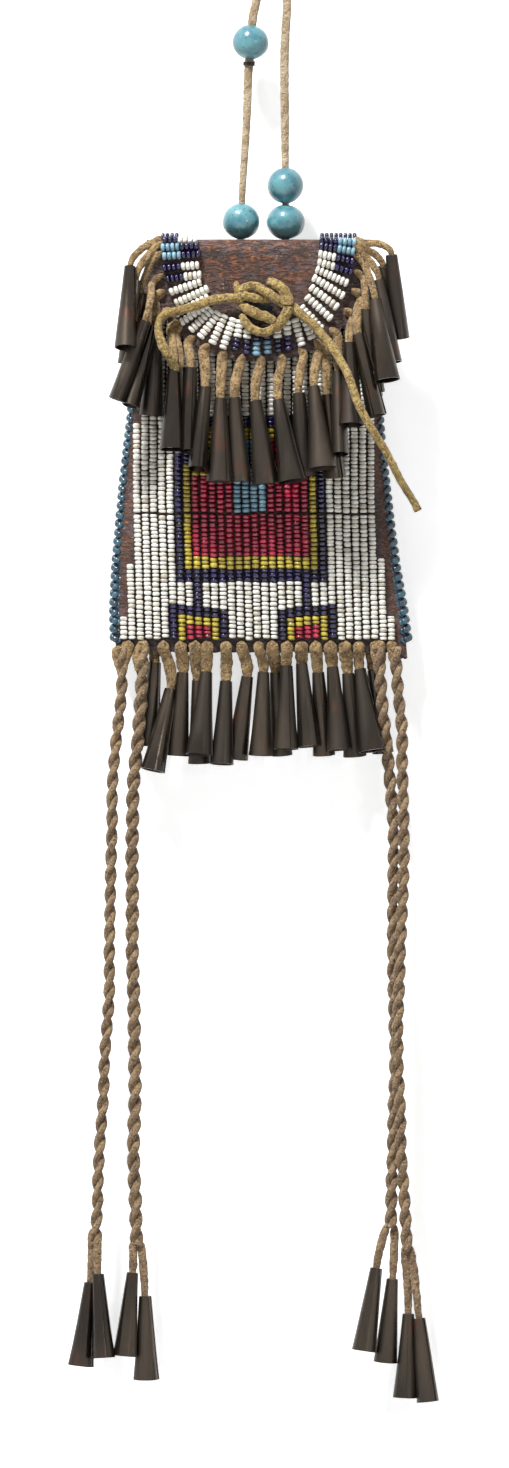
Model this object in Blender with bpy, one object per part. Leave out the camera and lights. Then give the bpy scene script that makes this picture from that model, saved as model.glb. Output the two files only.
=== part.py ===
"""Strike-a-light pouch: a flat hide pouch with a beaded front, a flap with a beaded
band and a fringe of metal cones, a tie thong, four long twisted thongs with cones at
their ends, and a hanging strap threaded through four glass beads.

All sizes are in millimetres. The origin is the inner crown of the strap loop, +Z is up
and the beaded front faces -Y. u is a place across the pouch, measured from its middle.
"""
import math

import bmesh
import bpy
from mathutils import Vector

MM = 0.001
SEAT_GAP = 0.3
HIDE = 1.5

# The pouch body
POUCH_X = -3.8
TOP_Z = -68.6
MOUTH_Z = -80.6
HEM_Z = -177.6
EDGE_TOP_HALF = 30.0
EDGE_HEM_HALF = 39.4
BACK_INNER_Y = 3.0
POUCH_DEPTH = 8.0
SWELL_Z = -125.0
HEM_SWELL = 0.15

# Rope-like beading along both side edges
EDGE_BEAD_R = 1.25
EDGE_BEAD_WAIST_R = 0.9
EDGE_BEAD_PITCH = 2.6
EDGE_BEAD_TOP_Z = -82.0
EDGE_BEAD_SIDES = 6

# Top fold and flap
FOLD_R = 4.5
FLAP_R = 4.0
HINGE_Y = -6.2
HINGE_GAP = 0.15
FLAP_HALF = 27.8
FLAP_SIDE = 13.7
FLAP_ROUND = 21.6
FLAP_CROWN = 3.0
FLAP_CROWN_RUN = 15.0

# Beaded band on the flap
BAND_OUTER_INSET = 2.0
BAND_INNER_HALF = 16.0
BAND_BOTTOM_INSET = 1.7
BAND_BOTTOM_WIDTH = 6.7
BAND_LANES = 34
BAND_START = 1.0

# Columns of seed beads on the front: as many as fit across the hem, with one in the
# middle. Heights are above the lowest beads.
COLUMN_PITCH = 2.26
COLUMN_MARGIN = 0.15
HEM_PANEL_HALF = EDGE_HEM_HALF - EDGE_BEAD_R - SEAT_GAP
SIDE_COLUMNS = int((HEM_PANEL_HALF - COLUMN_MARGIN) / COLUMN_PITCH - 0.5)
COLUMNS = 2 * SIDE_COLUMNS + 1
BEAD_BASE = 0.6
BEAD_RIDGE = 0.8
BEADS_BOTTOM_Z = -176.4
RED_BLOCK_TOP = 4.0
ARCH_YELLOW = 2.2
ARCH_NAVY = 2.7
STEM = 6.8
ARCH_TOP = RED_BLOCK_TOP + ARCH_YELLOW
MOTIF_TOP = ARCH_TOP + ARCH_NAVY
STEM_TOP = MOTIF_TOP + STEM
LOW_NAVY = 3.3
LOW_YELLOW = 3.5
RED_BELOW_STITCH = 11.7
RED_ABOVE_STITCH = 9.9
HIGH_YELLOW = 3.1
HIGH_NAVY = 3.1
MIDDLE_RISE = 9.9
BOX_BOTTOM = STEM_TOP + LOW_NAVY
BOX_YELLOW_BOTTOM = BOX_BOTTOM + LOW_YELLOW
STITCH_LINE = BOX_YELLOW_BOTTOM + RED_BELOW_STITCH
SHOULDER_TOP = STITCH_LINE + RED_ABOVE_STITCH + HIGH_YELLOW + HIGH_NAVY
BOX_TOP = SHOULDER_TOP + MIDDLE_RISE

# The pattern's columns, counted out from its middle, which lies half a column to the
# left of the pouch's own
STRIPE_LAST = 1
ARCH_INNER = 3
STEM_COLUMN = 6
SHOULDER_COLUMN = 6
BOX_NAVY_COLUMN = 8
ARCH_OUTER = 9

# Strap, glass beads and wrapping
STRAP_D = 1.9
STRAP_END_Z = -70.4
GLASS_BEAD_R = 4.85
WRAP_R = 1.7
WRAP_TOP_Z = -20.1
WRAP_HEIGHT = 1.4
HOLE_TURN = 0.2

# Thongs and metal cones
THONG_R = 1.1
TASSEL_THONG_R = 0.75
CONE_LENGTH = 22.6
CONE_TOP_R = 1.4
CONE_BOTTOM_R = 2.9
CONE_WALL = 0.4
CONE_PLUG = 5.0
CONE_SIDES = 8
FRINGE_INSET = 0.6

# Tie thong
TIE_D = 2.2
KNOT_X = -1.9
KNOT_Z = -86.6
KNOT_HALF = (5.5, 2.4, 5.0)

HANG_GAP = 0.35
CORD_STEP = 3.0

# The strap's route over the thing that it hangs on, from its left hole to its right
# one: x and z of its centre line, in the plane y = 0.
STRAP_ROUTE = (
    (-8.5, STRAP_END_Z), (-8.0, -55.5), (-7.4, -45.8), (-6.8, -36.0), (-6.5, -26.3),
    (-6.1, -19.8), (-5.4, -10.1), (-4.3, -4.4), (-3.5, -1.1), (-2.0, 0.5), (0.0, 0.95),
    (2.0, 0.5), (3.5, -1.1), (4.1, -4.4), (3.8, -10.1), (3.4, -19.8), (3.5, -36.0),
    (3.6, -49.0), (3.8, STRAP_END_Z))

# Glass beads on the strap: side (0 left, 1 right) and height of the centre
GLASS_BEADS = ((0, -15.0), (0, -63.4), (1, -53.7), (1, -63.6))

# Twisted thongs below the hem: diameter and route, x, y and z
TWISTED_THONGS = (
    (2.6, ((-40.5, 0.0, -178.4), (-40.6, 0.0, -189.9), (-41.4, 0.0, -198.0),
           (-42.3, 0.0, -206.1), (-43.1, 0.0, -216.9), (-43.2, 0.0, -227.7),
           (-43.5, 0.0, -238.5), (-43.7, 0.0, -249.3), (-43.9, 0.0, -260.1),
           (-43.9, 0.0, -270.9), (-44.4, 0.0, -279.0), (-45.2, 0.0, -289.8),
           (-45.6, 0.0, -300.6), (-46.4, 0.0, -311.4), (-47.0, 0.0, -322.2),
           (-47.1, 0.0, -330.3), (-47.8, 0.0, -336.6))),
    (3.0, ((-34.8, 0.0, -178.4), (-35.4, 0.0, -192.6), (-36.2, 0.0, -203.4),
           (-37.1, 0.0, -211.5), (-37.5, 0.0, -216.9), (-37.8, 0.0, -233.1),
           (-37.7, 0.0, -246.6), (-37.7, 0.0, -260.1), (-37.3, 0.0, -273.6),
           (-37.1, 0.0, -287.1), (-37.0, 0.0, -300.6), (-37.4, 0.0, -314.1),
           (-36.9, 0.0, -327.6), (-36.5, 0.0, -339.8))),
    (2.8, ((28.7, -0.8, -178.4), (29.7, -0.4, -192.6), (31.1, 0.3, -206.1),
           (32.1, 0.7, -216.9), (32.9, 1.0, -227.7), (32.8, 1.2, -241.2),
           (32.7, 1.4, -260.1), (32.9, 1.6, -270.9), (33.2, 1.7, -281.7),
           (33.3, 1.7, -292.5), (32.9, 1.4, -303.3), (32.7, 1.0, -314.1),
           (32.3, 0.6, -324.9), (32.1, 0.4, -335.2))),
    (2.7, ((33.3, -0.5, -178.4), (34.0, -0.5, -189.9), (35.1, -0.6, -200.7),
           (35.1, -0.7, -208.8), (35.4, -0.8, -219.6), (35.6, -1.0, -230.4),
           (35.4, -1.2, -241.2), (35.1, -1.3, -249.3), (34.6, -1.5, -260.1),
           (34.3, -1.6, -270.9), (33.9, -1.7, -281.7), (34.0, -1.7, -292.5),
           (34.6, -1.4, -303.3), (34.8, -1.0, -314.1), (35.6, -0.6, -324.9),
           (36.2, -0.4, -335.7), (36.5, -0.4, -341.1))))

# The pair of cones at the end of each twisted thong: the cone's top seen from the
# thong's end, then how far its mouth leans, each as x, y (and z)
TASSEL_CONES = (
    ((-1.3, 1.0, -13.4), (-2.6, 0.0)), ((0.8, -0.9, -11.0), (1.5, -1.2)),
    ((-1.1, -0.4, -7.4), (-2.0, -0.6)), ((2.2, 0.4, -13.8), (0.3, 1.3)),
    ((-4.0, -0.4, -10.8), (-3.3, -1.0)), ((0.5, 0.4, -13.8), (-1.9, 1.0)),
    ((0.3, 0.6, -17.3), (-0.7, 0.4)), ((3.2, -0.4, -18.4), (2.3, -0.6)))

# Cones along the hem: u of the thong's start, the cone's top seen from the hem as
# u, y and z, then how far its mouth leans in u and y
HEM_CONES = (
    (-25.4, (-23.6, 1.3, -12.1), (-4.8, -2.4)), (-20.8, (-20.2, 1.5, -7.5), (-1.4, 0.9)),
    (-16.9, (-16.2, 2.6, -9.6), (0.5, 1.6)), (-13.7, (-14.0, 0.6, -7.5), (-1.9, -3.2)),
    (-8.6, (-8.6, 1.5, -9.9), (-1.1, -2.4)), (-4.3, (-2.9, 1.5, -8.6), (-3.0, 2.4)),
    (0.3, (1.6, 1.5, -7.5), (-0.8, -1.0)), (3.9, (4.9, 3.0, -7.5), (1.5, 2.9)),
    (7.9, (7.7, 0.4, -5.8), (-0.2, -2.2)), (11.8, (11.9, 1.5, -5.2), (2.0, -2.1)),
    (15.7, (16.2, 1.6, -7.5), (1.6, 2.9)), (19.6, (20.1, 1.5, -6.1), (1.8, -2.4)),
    (23.6, (24.3, 1.5, -7.8), (1.9, 2.3)), (27.3, (27.5, 1.5, -6.7), (3.2, -3.4)),
    (-28.4, (-27.9, 2.6, -4.8), (-1.8, 1.9)), (30.6, (31.1, 3.4, -6.9), (2.7, 2.6)))

# Fringe of the flap: place along the flap's edge from 0 at the upper left to 1 at the
# upper right, the cone's top seen from there in u and z, its y, and the lean of the
# cone's mouth in u and y
FLAP_FRINGE = (
    (0.024, (-6.5, -6.2), -12.0, (-1.1, -5.0)), (0.045, (-5.0, -8.4), -11.0, (-1.8, 0.5)),
    (0.070, (-3.7, -9.3), -8.5, (-2.8, 5.0)), (0.127, (-2.5, -11.1), -15.0, (-7.6, -0.5)),
    (0.174, (-0.8, -8.1), -11.0, (-6.7, -3.0)), (0.230, (-3.0, -4.0), -9.5, (-2.4, 0.5)),
    (0.271, (-2.4, -8.0), -12.7, (1.2, -3.8)), (0.285, (-0.1, -7.6), -12.0, (0.8, 0.0)),
    (0.329, (0.4, -7.2), -12.5, (-0.9, -2.5)), (0.372, (0.2, -10.2), -13.0, (-2.2, -4.5)),
    (0.418, (-0.6, -11.3), -13.0, (-0.3, -2.5)), (0.462, (-1.8, -10.0), -12.5, (1.5, 0.0)),
    (0.507, (-1.5, -10.6), -13.0, (2.8, -0.7)), (0.555, (-0.9, -11.0), -13.0, (3.6, -4.0)),
    (0.606, (-1.1, -10.6), -12.5, (1.6, 0.5)), (0.650, (-1.4, -11.1), -13.5, (2.2, -4.5)),
    (0.669, (0.4, -14.2), -11.2, (1.9, 0.0)), (0.702, (0.6, -10.3), -12.2, (0.5, -3.8)),
    (0.770, (-0.8, -7.8), -12.5, (0.5, -4.5)), (0.830, (-0.4, -10.7), -12.8, (4.9, -2.0)),
    (0.886, (1.5, -9.1), -11.5, (1.8, 3.0)), (0.925, (3.8, -10.8), -12.5, (3.2, -4.5)),
    (0.945, (4.9, -7.5), -10.0, (3.2, -2.0)), (0.960, (5.9, -5.0), -8.5, (1.9, 6.0)),
    (0.976, (8.2, -3.0), -10.5, (2.4, 3.5)))

# Tie thong: its short left branch lies over the flap's beads, its tail hangs free
TIE_BRANCH = (
    (-7.8, -13.1, -84.9), (-12.0, -13.3, -84.7), (-16.2, -13.1, -85.3),
    (-20.2, -12.7, -86.7), (-24.6, -12.0, -87.9), (-28.2, -11.9, -88.9),
    (-30.3, -13.2, -91.0), (-30.4, -14.4, -94.6), (-29.0, -15.2, -98.2))
TIE_TAIL = (
    (4.5, -13.6, -86.3), (8.0, -14.0, -89.3), (11.1, -14.2, -91.9), (15.0, -14.8, -96.5),
    (18.2, -17.0, -101.4), (20.6, -19.8, -106.2), (22.8, -21.6, -112.7),
    (25.2, -22.0, -117.6), (27.6, -21.6, -121.6), (31.1, -20.4, -127.3),
    (34.6, -18.4, -134.1), (37.8, -16.6, -139.1), (39.2, -16.0, -141.9))

MATERIALS = {
    "hide": ((0.070, 0.035, 0.026), 0.75, 0.0),
    "thong": ((0.38, 0.24, 0.13), 0.85, 0.0),
    "tie": ((0.57, 0.38, 0.14), 0.85, 0.0),
    "tin": ((0.085, 0.065, 0.052), 0.42, 0.9),
    "glass": ((0.08, 0.29, 0.37), 0.25, 0.0),
    "beads_white": ((0.86, 0.82, 0.70), 0.2, 0.0),
    "beads_navy": ((0.012, 0.007, 0.08), 0.2, 0.0),
    "beads_yellow": ((0.58, 0.46, 0.05), 0.2, 0.0),
    "beads_red": ((0.46, 0.01, 0.045), 0.2, 0.0),
    "beads_blue": ((0.21, 0.43, 0.55), 0.2, 0.0),
    "beads_teal": ((0.015, 0.07, 0.10), 0.2, 0.0),
}


def clear_scene():
    for obj in list(bpy.data.objects):
        bpy.data.objects.remove(obj, do_unlink=True)


def collection(name):
    made = bpy.data.collections.new(name)
    bpy.context.scene.collection.children.link(made)
    return made


def material(name):
    found = bpy.data.materials.get(name)
    if found:
        return found
    color, roughness, metallic = MATERIALS[name]
    made = bpy.data.materials.new(name)
    made.use_nodes = True
    shader = made.node_tree.nodes["Principled BSDF"]
    shader.inputs["Base Color"].default_value = (*color, 1.0)
    shader.inputs["Roughness"].default_value = roughness
    shader.inputs["Metallic"].default_value = metallic
    return made


def add_object(name, data, slot, group, smooth_angle=None):
    obj = bpy.data.objects.new(name, data)
    group.objects.link(obj)
    data.materials.append(material(slot))
    if smooth_angle is not None:
        data.shade_smooth()
        data.set_sharp_from_angle(angle=math.radians(smooth_angle))
    return obj


def finish_bmesh(bm, name):
    """Turn a closed bmesh in millimetres into a mesh in metres, facing out."""
    bmesh.ops.recalc_face_normals(bm, faces=bm.faces[:])
    if bm.calc_volume(signed=True) < 0.0:
        bmesh.ops.reverse_faces(bm, faces=bm.faces[:])
    bmesh.ops.scale(bm, vec=(MM, MM, MM), verts=bm.verts[:])
    mesh = bpy.data.meshes.new(name)
    bm.to_mesh(mesh)
    bm.free()
    return mesh


def lerp(low, high, share):
    return low + (high - low) * share


def edge_half(z):
    """Half-width of the pouch at the edge beading's centre line."""
    return lerp(EDGE_TOP_HALF, EDGE_HEM_HALF, (TOP_Z - z) / (TOP_Z - HEM_Z))


def panel_half(z):
    """Half-width of the hide panels, inside the edge beading."""
    return edge_half(z) - EDGE_BEAD_R - SEAT_GAP


def edge_z(half):
    """Height at which the edge beading's centre line is this far out."""
    share = (half - EDGE_TOP_HALF) / (EDGE_HEM_HALF - EDGE_TOP_HALF)
    return lerp(TOP_Z, HEM_Z, share)


def swell(z):
    """How full the pouch is at a height: 1 up to the mouth, little at the hem."""
    rise = min(1.0, (z - HEM_Z) / (SWELL_Z - HEM_Z))
    return lerp(HEM_SWELL, 1.0, math.sin(0.5 * math.pi * rise))


def front_inner_y(u, z):
    """Inner face of the crowned front panel."""
    share = min(1.0, abs(u) / panel_half(z))
    return BACK_INNER_Y - SEAT_GAP - POUCH_DEPTH * (1.0 - share ** 3) * swell(z)


def layered_sheet(u_lines, v_lines, place, kept=None, inset=0.0):
    """A sheet with thickness over a grid. place(u, v, layer) gives each corner,
    kept(u, v) says which cells belong to the sheet, by their middles, and the sheet's
    outline is drawn in by the inset."""
    cells_u = len(u_lines) - 1
    cells_v = len(v_lines) - 1
    bm = bmesh.new()
    bmesh.ops.create_grid(bm, x_segments=cells_u, y_segments=cells_v, size=1.0)
    for vert in bm.verts:
        vert.co.x = u_lines[round((vert.co.x + 1.0) * 0.5 * cells_u)]
        vert.co.y = v_lines[round((vert.co.y + 1.0) * 0.5 * cells_v)]
    if kept:
        cut = []
        for face in bm.faces:
            middle = face.calc_center_median()
            if not kept(middle.x, middle.y):
                cut.append(face)
        bmesh.ops.delete(bm, geom=cut, context="FACES")
    moves = []
    for vert in bm.verts:
        pull = [0, 0]
        for face in vert.link_faces:
            middle = face.calc_center_median()
            pull[0] += 1 if middle.x > vert.co.x else -1
            pull[1] += 1 if middle.y > vert.co.y else -1
        moves.append((vert, [inset * (way > 0) - inset * (way < 0) for way in pull]))
    for vert, move in moves:
        vert.co.x += move[0]
        vert.co.y += move[1]
    grown = bmesh.ops.extrude_face_region(bm, geom=bm.faces[:])
    outer = {item for item in grown["geom"] if isinstance(item, bmesh.types.BMVert)}
    for vert in bm.verts:
        vert.co = place(vert.co.x, vert.co.y, 1 if vert in outer else 0)
    return bm


def even_lines(low, high, cells):
    return [lerp(low, high, index / cells) for index in range(cells + 1)]


def make_back_panel(group):
    """Flat hide back, from the fold down to the hem."""
    def place(share, z, layer):
        return Vector((POUCH_X + share * panel_half(z), BACK_INNER_Y + layer * HIDE, z))
    bm = layered_sheet([-1.0, 1.0], [HEM_Z, MOUTH_Z - SEAT_GAP], place)
    add_object("back_panel", finish_bmesh(bm, "back_panel"), "hide", group)


def make_front_panel(group):
    """Crowned hide front, open at the mouth."""
    def place(share, z, layer):
        u = share * panel_half(z)
        return Vector((POUCH_X + u, front_inner_y(u, z) - layer * HIDE, z))
    across = [math.sin(0.5 * math.pi * share) for share in even_lines(-1.0, 1.0, 14)]
    down = even_lines(HEM_Z, SWELL_Z, 6) + [MOUTH_Z]
    bm = layered_sheet(across, down, place)
    add_object("front_panel", finish_bmesh(bm, "front_panel"), "hide", group, 40)


def make_top_fold(group, cutters):
    """Hide over the top, from the back panel forward to the flap, with the two holes
    that the strap passes through."""
    half = panel_half(TOP_Z)
    outer_y = BACK_INNER_Y + HIDE
    straight = TOP_Z - FOLD_R - MOUTH_Z
    arc = 0.5 * math.pi * FOLD_R
    flat = outer_y - FOLD_R - HINGE_Y - HINGE_GAP

    def place(u, run, layer):
        inset = HIDE * (1 - layer)
        if run <= straight:
            return Vector((POUCH_X + u, outer_y - inset, MOUTH_Z + run))
        if run <= straight + arc + 1e-6:
            turn = (run - straight) / FOLD_R
            reach = FOLD_R - inset
            return Vector((POUCH_X + u, outer_y - FOLD_R + reach * math.cos(turn),
                           TOP_Z - FOLD_R + reach * math.sin(turn)))
        beyond = run - straight - arc
        return Vector((POUCH_X + u, outer_y - FOLD_R - beyond, TOP_Z - inset))

    runs = [0.0] + even_lines(straight, straight + arc, 5) + [straight + arc + flat]
    bm = layered_sheet([-half, half], runs, place)
    fold = add_object("top_fold", finish_bmesh(bm, "top_fold"), "hide", group, 40)
    for side, index in (("left", 0), ("right", -1)):
        bpy.ops.mesh.primitive_cylinder_add(
            vertices=12, radius=(0.5 * STRAP_D + SEAT_GAP) * MM, depth=6.0 * HIDE * MM,
            location=(STRAP_ROUTE[index][0] * MM, 0.0, TOP_Z * MM),
            rotation=(0.0, 0.0, HOLE_TURN))
        cutter = bpy.context.object
        cutter.name = "strap_hole_" + side
        hide_as_cutter(cutter, cutters)
        cut = fold.modifiers.new("Strap hole " + side, "BOOLEAN")
        cut.operation = "DIFFERENCE"
        cut.object = cutter


def hide_as_cutter(obj, cutters):
    for owner in list(obj.users_collection):
        owner.objects.unlink(obj)
    cutters.objects.link(obj)
    obj.hide_render = True
    obj.display_type = "WIRE"


def column_u(index):
    return (index - (COLUMNS - 1) / 2) * COLUMN_PITCH


def column_top(index):
    """A column of beads begins where the panel is wide enough for it."""
    reach = abs(column_u(index)) + 0.5 * COLUMN_PITCH + COLUMN_MARGIN
    start = edge_z(reach + EDGE_BEAD_R + SEAT_GAP)
    return min(MOUTH_Z - SEAT_GAP, start)


def box_top(out):
    """Top of the framed box, which is lower over its shoulders than in its middle."""
    if out > BOX_NAVY_COLUMN:
        return STEM_TOP
    return BOX_TOP if out < SHOULDER_COLUMN else SHOULDER_TOP


def bead_field_at(index, height):
    """Colour field of the front's beadwork, by column and height above its bottom."""
    out = int(abs(index - 0.5 * (COLUMNS - 2)))
    side = "left" if index < COLUMNS // 2 else "right"
    if height < STEM_TOP:
        if height < MOTIF_TOP and ARCH_INNER <= out <= ARCH_OUTER:
            if out in (ARCH_INNER, ARCH_OUTER) or height > ARCH_TOP:
                return "navy_frame"
            if out in (ARCH_INNER + 1, ARCH_OUTER - 1) or height > RED_BLOCK_TOP:
                return "yellow_arch_" + side
            return "red_block_" + side
        if height > MOTIF_TOP and out == STEM_COLUMN:
            return "navy_frame"
        return "white_base" if out < STEM_COLUMN else "white_field"
    if height > box_top(out):
        return "white_field"
    navy_from = min(box_top(out), box_top(out + 1)) - HIGH_NAVY
    if height < BOX_BOTTOM or height > navy_from:
        return "navy_frame"
    yellow_from = min(navy_from, box_top(out + 2) - HIGH_NAVY) - HIGH_YELLOW
    if height < BOX_YELLOW_BOTTOM or height > yellow_from:
        return "yellow_border"
    if out <= STRIPE_LAST and height > STITCH_LINE:
        return "blue_stripe"
    return "red_field"


def bead_heights():
    """Heights in the beadwork where the colour may change, and where it needs a line
    to follow the panel or to start a column."""
    heights = {0.0, RED_BLOCK_TOP, ARCH_TOP, MOTIF_TOP, STEM_TOP, BOX_BOTTOM,
               BOX_YELLOW_BOTTOM, STITCH_LINE, MOUTH_Z - SEAT_GAP - BEADS_BOTTOM_Z}
    for top in (SHOULDER_TOP, BOX_TOP):
        heights.update((top - HIGH_NAVY - HIGH_YELLOW, top - HIGH_NAVY, top))
    heights.update(even_lines(STITCH_LINE, SWELL_Z - BEADS_BOTTOM_Z, 2))
    for index in range(SIDE_COLUMNS):
        heights.add(max(0.0, column_top(index) - BEADS_BOTTOM_Z))
    return sorted(heights)


def make_bead_field(name, slot, field, group):
    """One colour field of ridged bead columns, lying on the crowned panel."""
    half_width = 0.5 * COLUMNS * COLUMN_PITCH
    lines = even_lines(-half_width, half_width, 2 * COLUMNS)

    def kept(u, height):
        column = int((u + half_width) / COLUMN_PITCH)
        if height + BEADS_BOTTOM_Z > column_top(column):
            return False
        return bead_field_at(column, height) == field

    def place(u, height, layer):
        z = BEADS_BOTTOM_Z + height
        y = front_inner_y(u, z) - HIDE - SEAT_GAP
        if layer:
            off_ridge = abs(u / COLUMN_PITCH - round(u / COLUMN_PITCH)) * 2.0
            y -= BEAD_BASE + BEAD_RIDGE * (1.0 - off_ridge)
        return Vector((POUCH_X + u, y, z))

    bm = layered_sheet(lines, bead_heights(), place, kept, 0.5 * SEAT_GAP)
    add_object(name, finish_bmesh(bm, name), slot, group)


def make_beadwork(group):
    fields = (
        ("white_field", "white"), ("white_base", "white"), ("navy_frame", "navy"),
        ("yellow_border", "yellow"), ("red_field", "red"), ("blue_stripe", "blue"),
        ("yellow_arch_left", "yellow"), ("yellow_arch_right", "yellow"),
        ("red_block_left", "red"), ("red_block_right", "red"))
    for field, color in fields:
        make_bead_field("beads_" + field, "beads_" + color, field, group)


def make_edge_beads(name, side, group):
    """Rope-like beading along one side: a turned rod with a waist between beads."""
    low = Vector((POUCH_X + side * edge_half(HEM_Z), BACK_INNER_Y, HEM_Z))
    high = Vector((POUCH_X + side * edge_half(EDGE_BEAD_TOP_Z), BACK_INNER_Y,
                   EDGE_BEAD_TOP_Z))
    length = (high - low).length
    count = int(length / EDGE_BEAD_PITCH)
    profile = [(0.0, length)]
    for index in range(count, 0, -1):
        start = length * index / count
        profile += [(EDGE_BEAD_WAIST_R, start),
                    (EDGE_BEAD_R, start - 0.5 * length / count)]
    profile += [(EDGE_BEAD_WAIST_R, 0.0), (0.0, 0.0)]
    obj = add_object(name, turned_mesh(name, profile, EDGE_BEAD_SIDES), "beads_teal",
                     group, 60)
    obj.location = low * MM
    obj.rotation_mode = "QUATERNION"
    obj.rotation_quaternion = Vector((0.0, 0.0, 1.0)).rotation_difference(high - low)


def turned_bmesh(profile, sides):
    """Turn a profile of (radius, height) points about Z."""
    bm = bmesh.new()
    verts = [bm.verts.new((radius, 0.0, height)) for radius, height in profile]
    edges = [bm.edges.new(pair) for pair in zip(verts, verts[1:])]
    bmesh.ops.spin(bm, geom=verts + edges, cent=(0.0, 0.0, 0.0), axis=(0.0, 0.0, 1.0),
                   angle=2.0 * math.pi, steps=sides, use_merge=True)
    bmesh.ops.remove_doubles(bm, verts=bm.verts[:], dist=0.001)
    return bm


def turned_mesh(name, profile, sides):
    return finish_bmesh(turned_bmesh(profile, sides), name)


def smooth_route(points, step):
    """Points at most one step apart on a smooth curve through the route's points."""
    spots = [Vector(point) for point in points]
    padded = [spots[0] * 2 - spots[1]] + spots + [spots[-1] * 2 - spots[-2]]
    curve = [spots[0]]
    for index in range(1, len(padded) - 2):
        before, start, end, after = padded[index - 1:index + 3]
        pieces = max(1, math.ceil((end - start).length / step))
        for piece in range(1, pieces + 1):
            t = piece / pieces
            curve.append(0.5 * (2 * start + (end - before) * t
                                + (2 * before - 5 * start + 4 * end - after) * t ** 2
                                + (3 * start - before - 3 * end + after) * t ** 3))
    return curve


def make_cord(name, points, diameter, slot, group):
    """A plain round tube along a route."""
    data = bpy.data.curves.new(name, "CURVE")
    data.dimensions = "3D"
    data.bevel_depth = 0.5 * diameter * MM
    data.bevel_resolution = 2
    data.use_fill_caps = True
    spline = data.splines.new("POLY")
    curve = smooth_route(points, CORD_STEP * diameter)
    spline.points.add(len(curve) - 1)
    for point, spot in zip(spline.points, curve):
        point.co = (*(spot * MM), 1.0)
    add_object(name, data, slot, group)


def strap_place(side, z):
    """Strap's centre line on one side at a height, and its slope there."""
    middle = len(STRAP_ROUTE) // 2
    run = STRAP_ROUTE[:middle + 1] if side == 0 else STRAP_ROUTE[:middle - 1:-1]
    for low, high in zip(run, run[1:]):
        if low[1] <= z <= high[1]:
            slope = (high[0] - low[0]) / (high[1] - low[1])
            return low[0] + slope * (z - low[1]), slope
    return run[0][0], 0.0


def make_on_strap(name, profile, sides, side, z, slot, group):
    """A turned piece that the strap is threaded through."""
    x, slope = strap_place(side, z)
    obj = add_object(name, turned_mesh(name, profile, sides), slot, group, 50)
    obj.location = (x * MM, 0.0, z * MM)
    obj.rotation_euler = (0.0, math.atan(slope), 0.0)


def make_strap(group):
    route = [(x, 0.0, z) for x, z in STRAP_ROUTE]
    make_cord("strap_thong", route, STRAP_D, "thong", group)
    hole = 0.5 * STRAP_D + SEAT_GAP
    mouth = math.acos(hole / GLASS_BEAD_R)
    ring = [(hole, math.sqrt(GLASS_BEAD_R ** 2 - hole ** 2))]
    for turn in even_lines(mouth, -mouth, 9)[1:-1]:
        ring.append((GLASS_BEAD_R * math.cos(turn), GLASS_BEAD_R * math.sin(turn)))
    ring += [(hole, -ring[0][1]), ring[0]]
    for index, (side, z) in enumerate(GLASS_BEADS, 1):
        make_on_strap("glass_bead_%d" % index, ring, 14, side, z, "glass", group)
    half = 0.5 * WRAP_HEIGHT
    band = [(hole, half), (WRAP_R, half), (WRAP_R, -half), (hole, -half), (hole, half)]
    make_on_strap("strap_wrap", band, 12, 0, WRAP_TOP_Z - half, "hide", group)


def cone_bmesh(start, top, lean, thong_r):
    """A short thong that bends into the top of a hollow rolled metal cone, and
    stops as a plug inside it."""
    start = Vector(start)
    top = Vector(top)
    drop = math.sqrt(CONE_LENGTH ** 2 - lean[0] ** 2 - lean[1] ** 2)
    axis = Vector((lean[0], lean[1], -drop)).normalized()
    reach = (top - start).length
    plug = CONE_PLUG / CONE_LENGTH
    plug_r = lerp(CONE_TOP_R, CONE_BOTTOM_R, plug) - CONE_WALL
    profile = [(0.0, reach), (thong_r, reach), (thong_r, 0.5 * reach), (thong_r, 0.0),
               (CONE_TOP_R, 0.0), (CONE_BOTTOM_R, -CONE_LENGTH),
               (CONE_BOTTOM_R - CONE_WALL, -CONE_LENGTH), (plug_r, -CONE_PLUG),
               (0.0, -CONE_PLUG)]
    bm = turned_bmesh(profile, CONE_SIDES)
    side_x = Vector((1.0, 0.0, 0.0))
    cone_y = axis.cross(side_x).normalized()
    cone_x = cone_y.cross(axis)
    corner = top - 0.4 * reach * axis
    for vert in bm.verts:
        x, y, s = vert.co
        if s <= 0.0:
            vert.co = top - axis * s + cone_x * x + cone_y * y
            continue
        t = s / reach
        centre = top * (1 - t) ** 2 + corner * 2 * t * (1 - t) + start * t ** 2
        along = (corner - top) * (1 - t) + (start - corner) * t
        along = -along.normalized()
        thong_y = along.cross(side_x).normalized()
        thong_x = thong_y.cross(along)
        vert.co = centre + thong_x * x + thong_y * y
    return bm


def make_hanging_cone(name, start, top, lean, thong_r, group):
    mesh = finish_bmesh(cone_bmesh(start, top, lean, thong_r), name)
    return add_object(name, mesh, "tin", group, 50)


def make_hem_cones(group):
    hem_y = BACK_INNER_Y - SEAT_GAP - POUCH_DEPTH * HEM_SWELL
    for index, (u, top, lean) in enumerate(HEM_CONES, 1):
        start = (POUCH_X + u, hem_y, HEM_Z - HANG_GAP)
        hung = (POUCH_X + top[0], top[1], HEM_Z + top[2])
        make_hanging_cone("bottom_cone_%02d" % index, start, hung, lean, THONG_R, group)


def make_tassels(group):
    spread = TASSEL_THONG_R + 0.5 * SEAT_GAP
    for index, (diameter, route) in enumerate(TWISTED_THONGS, 1):
        make_cord("twisted_thong_%d" % index, route, diameter, "thong", group)
        end = Vector(route[-1])
        for turn, side in enumerate((-1.0, 1.0)):
            number = 2 * index - 1 + turn
            top, lean = TASSEL_CONES[number - 1]
            start = end + Vector((side * spread, 0.0, -HANG_GAP))
            make_hanging_cone("tassel_cone_%d" % number, start, end + Vector(top), lean,
                              TASSEL_THONG_R, group)


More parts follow.
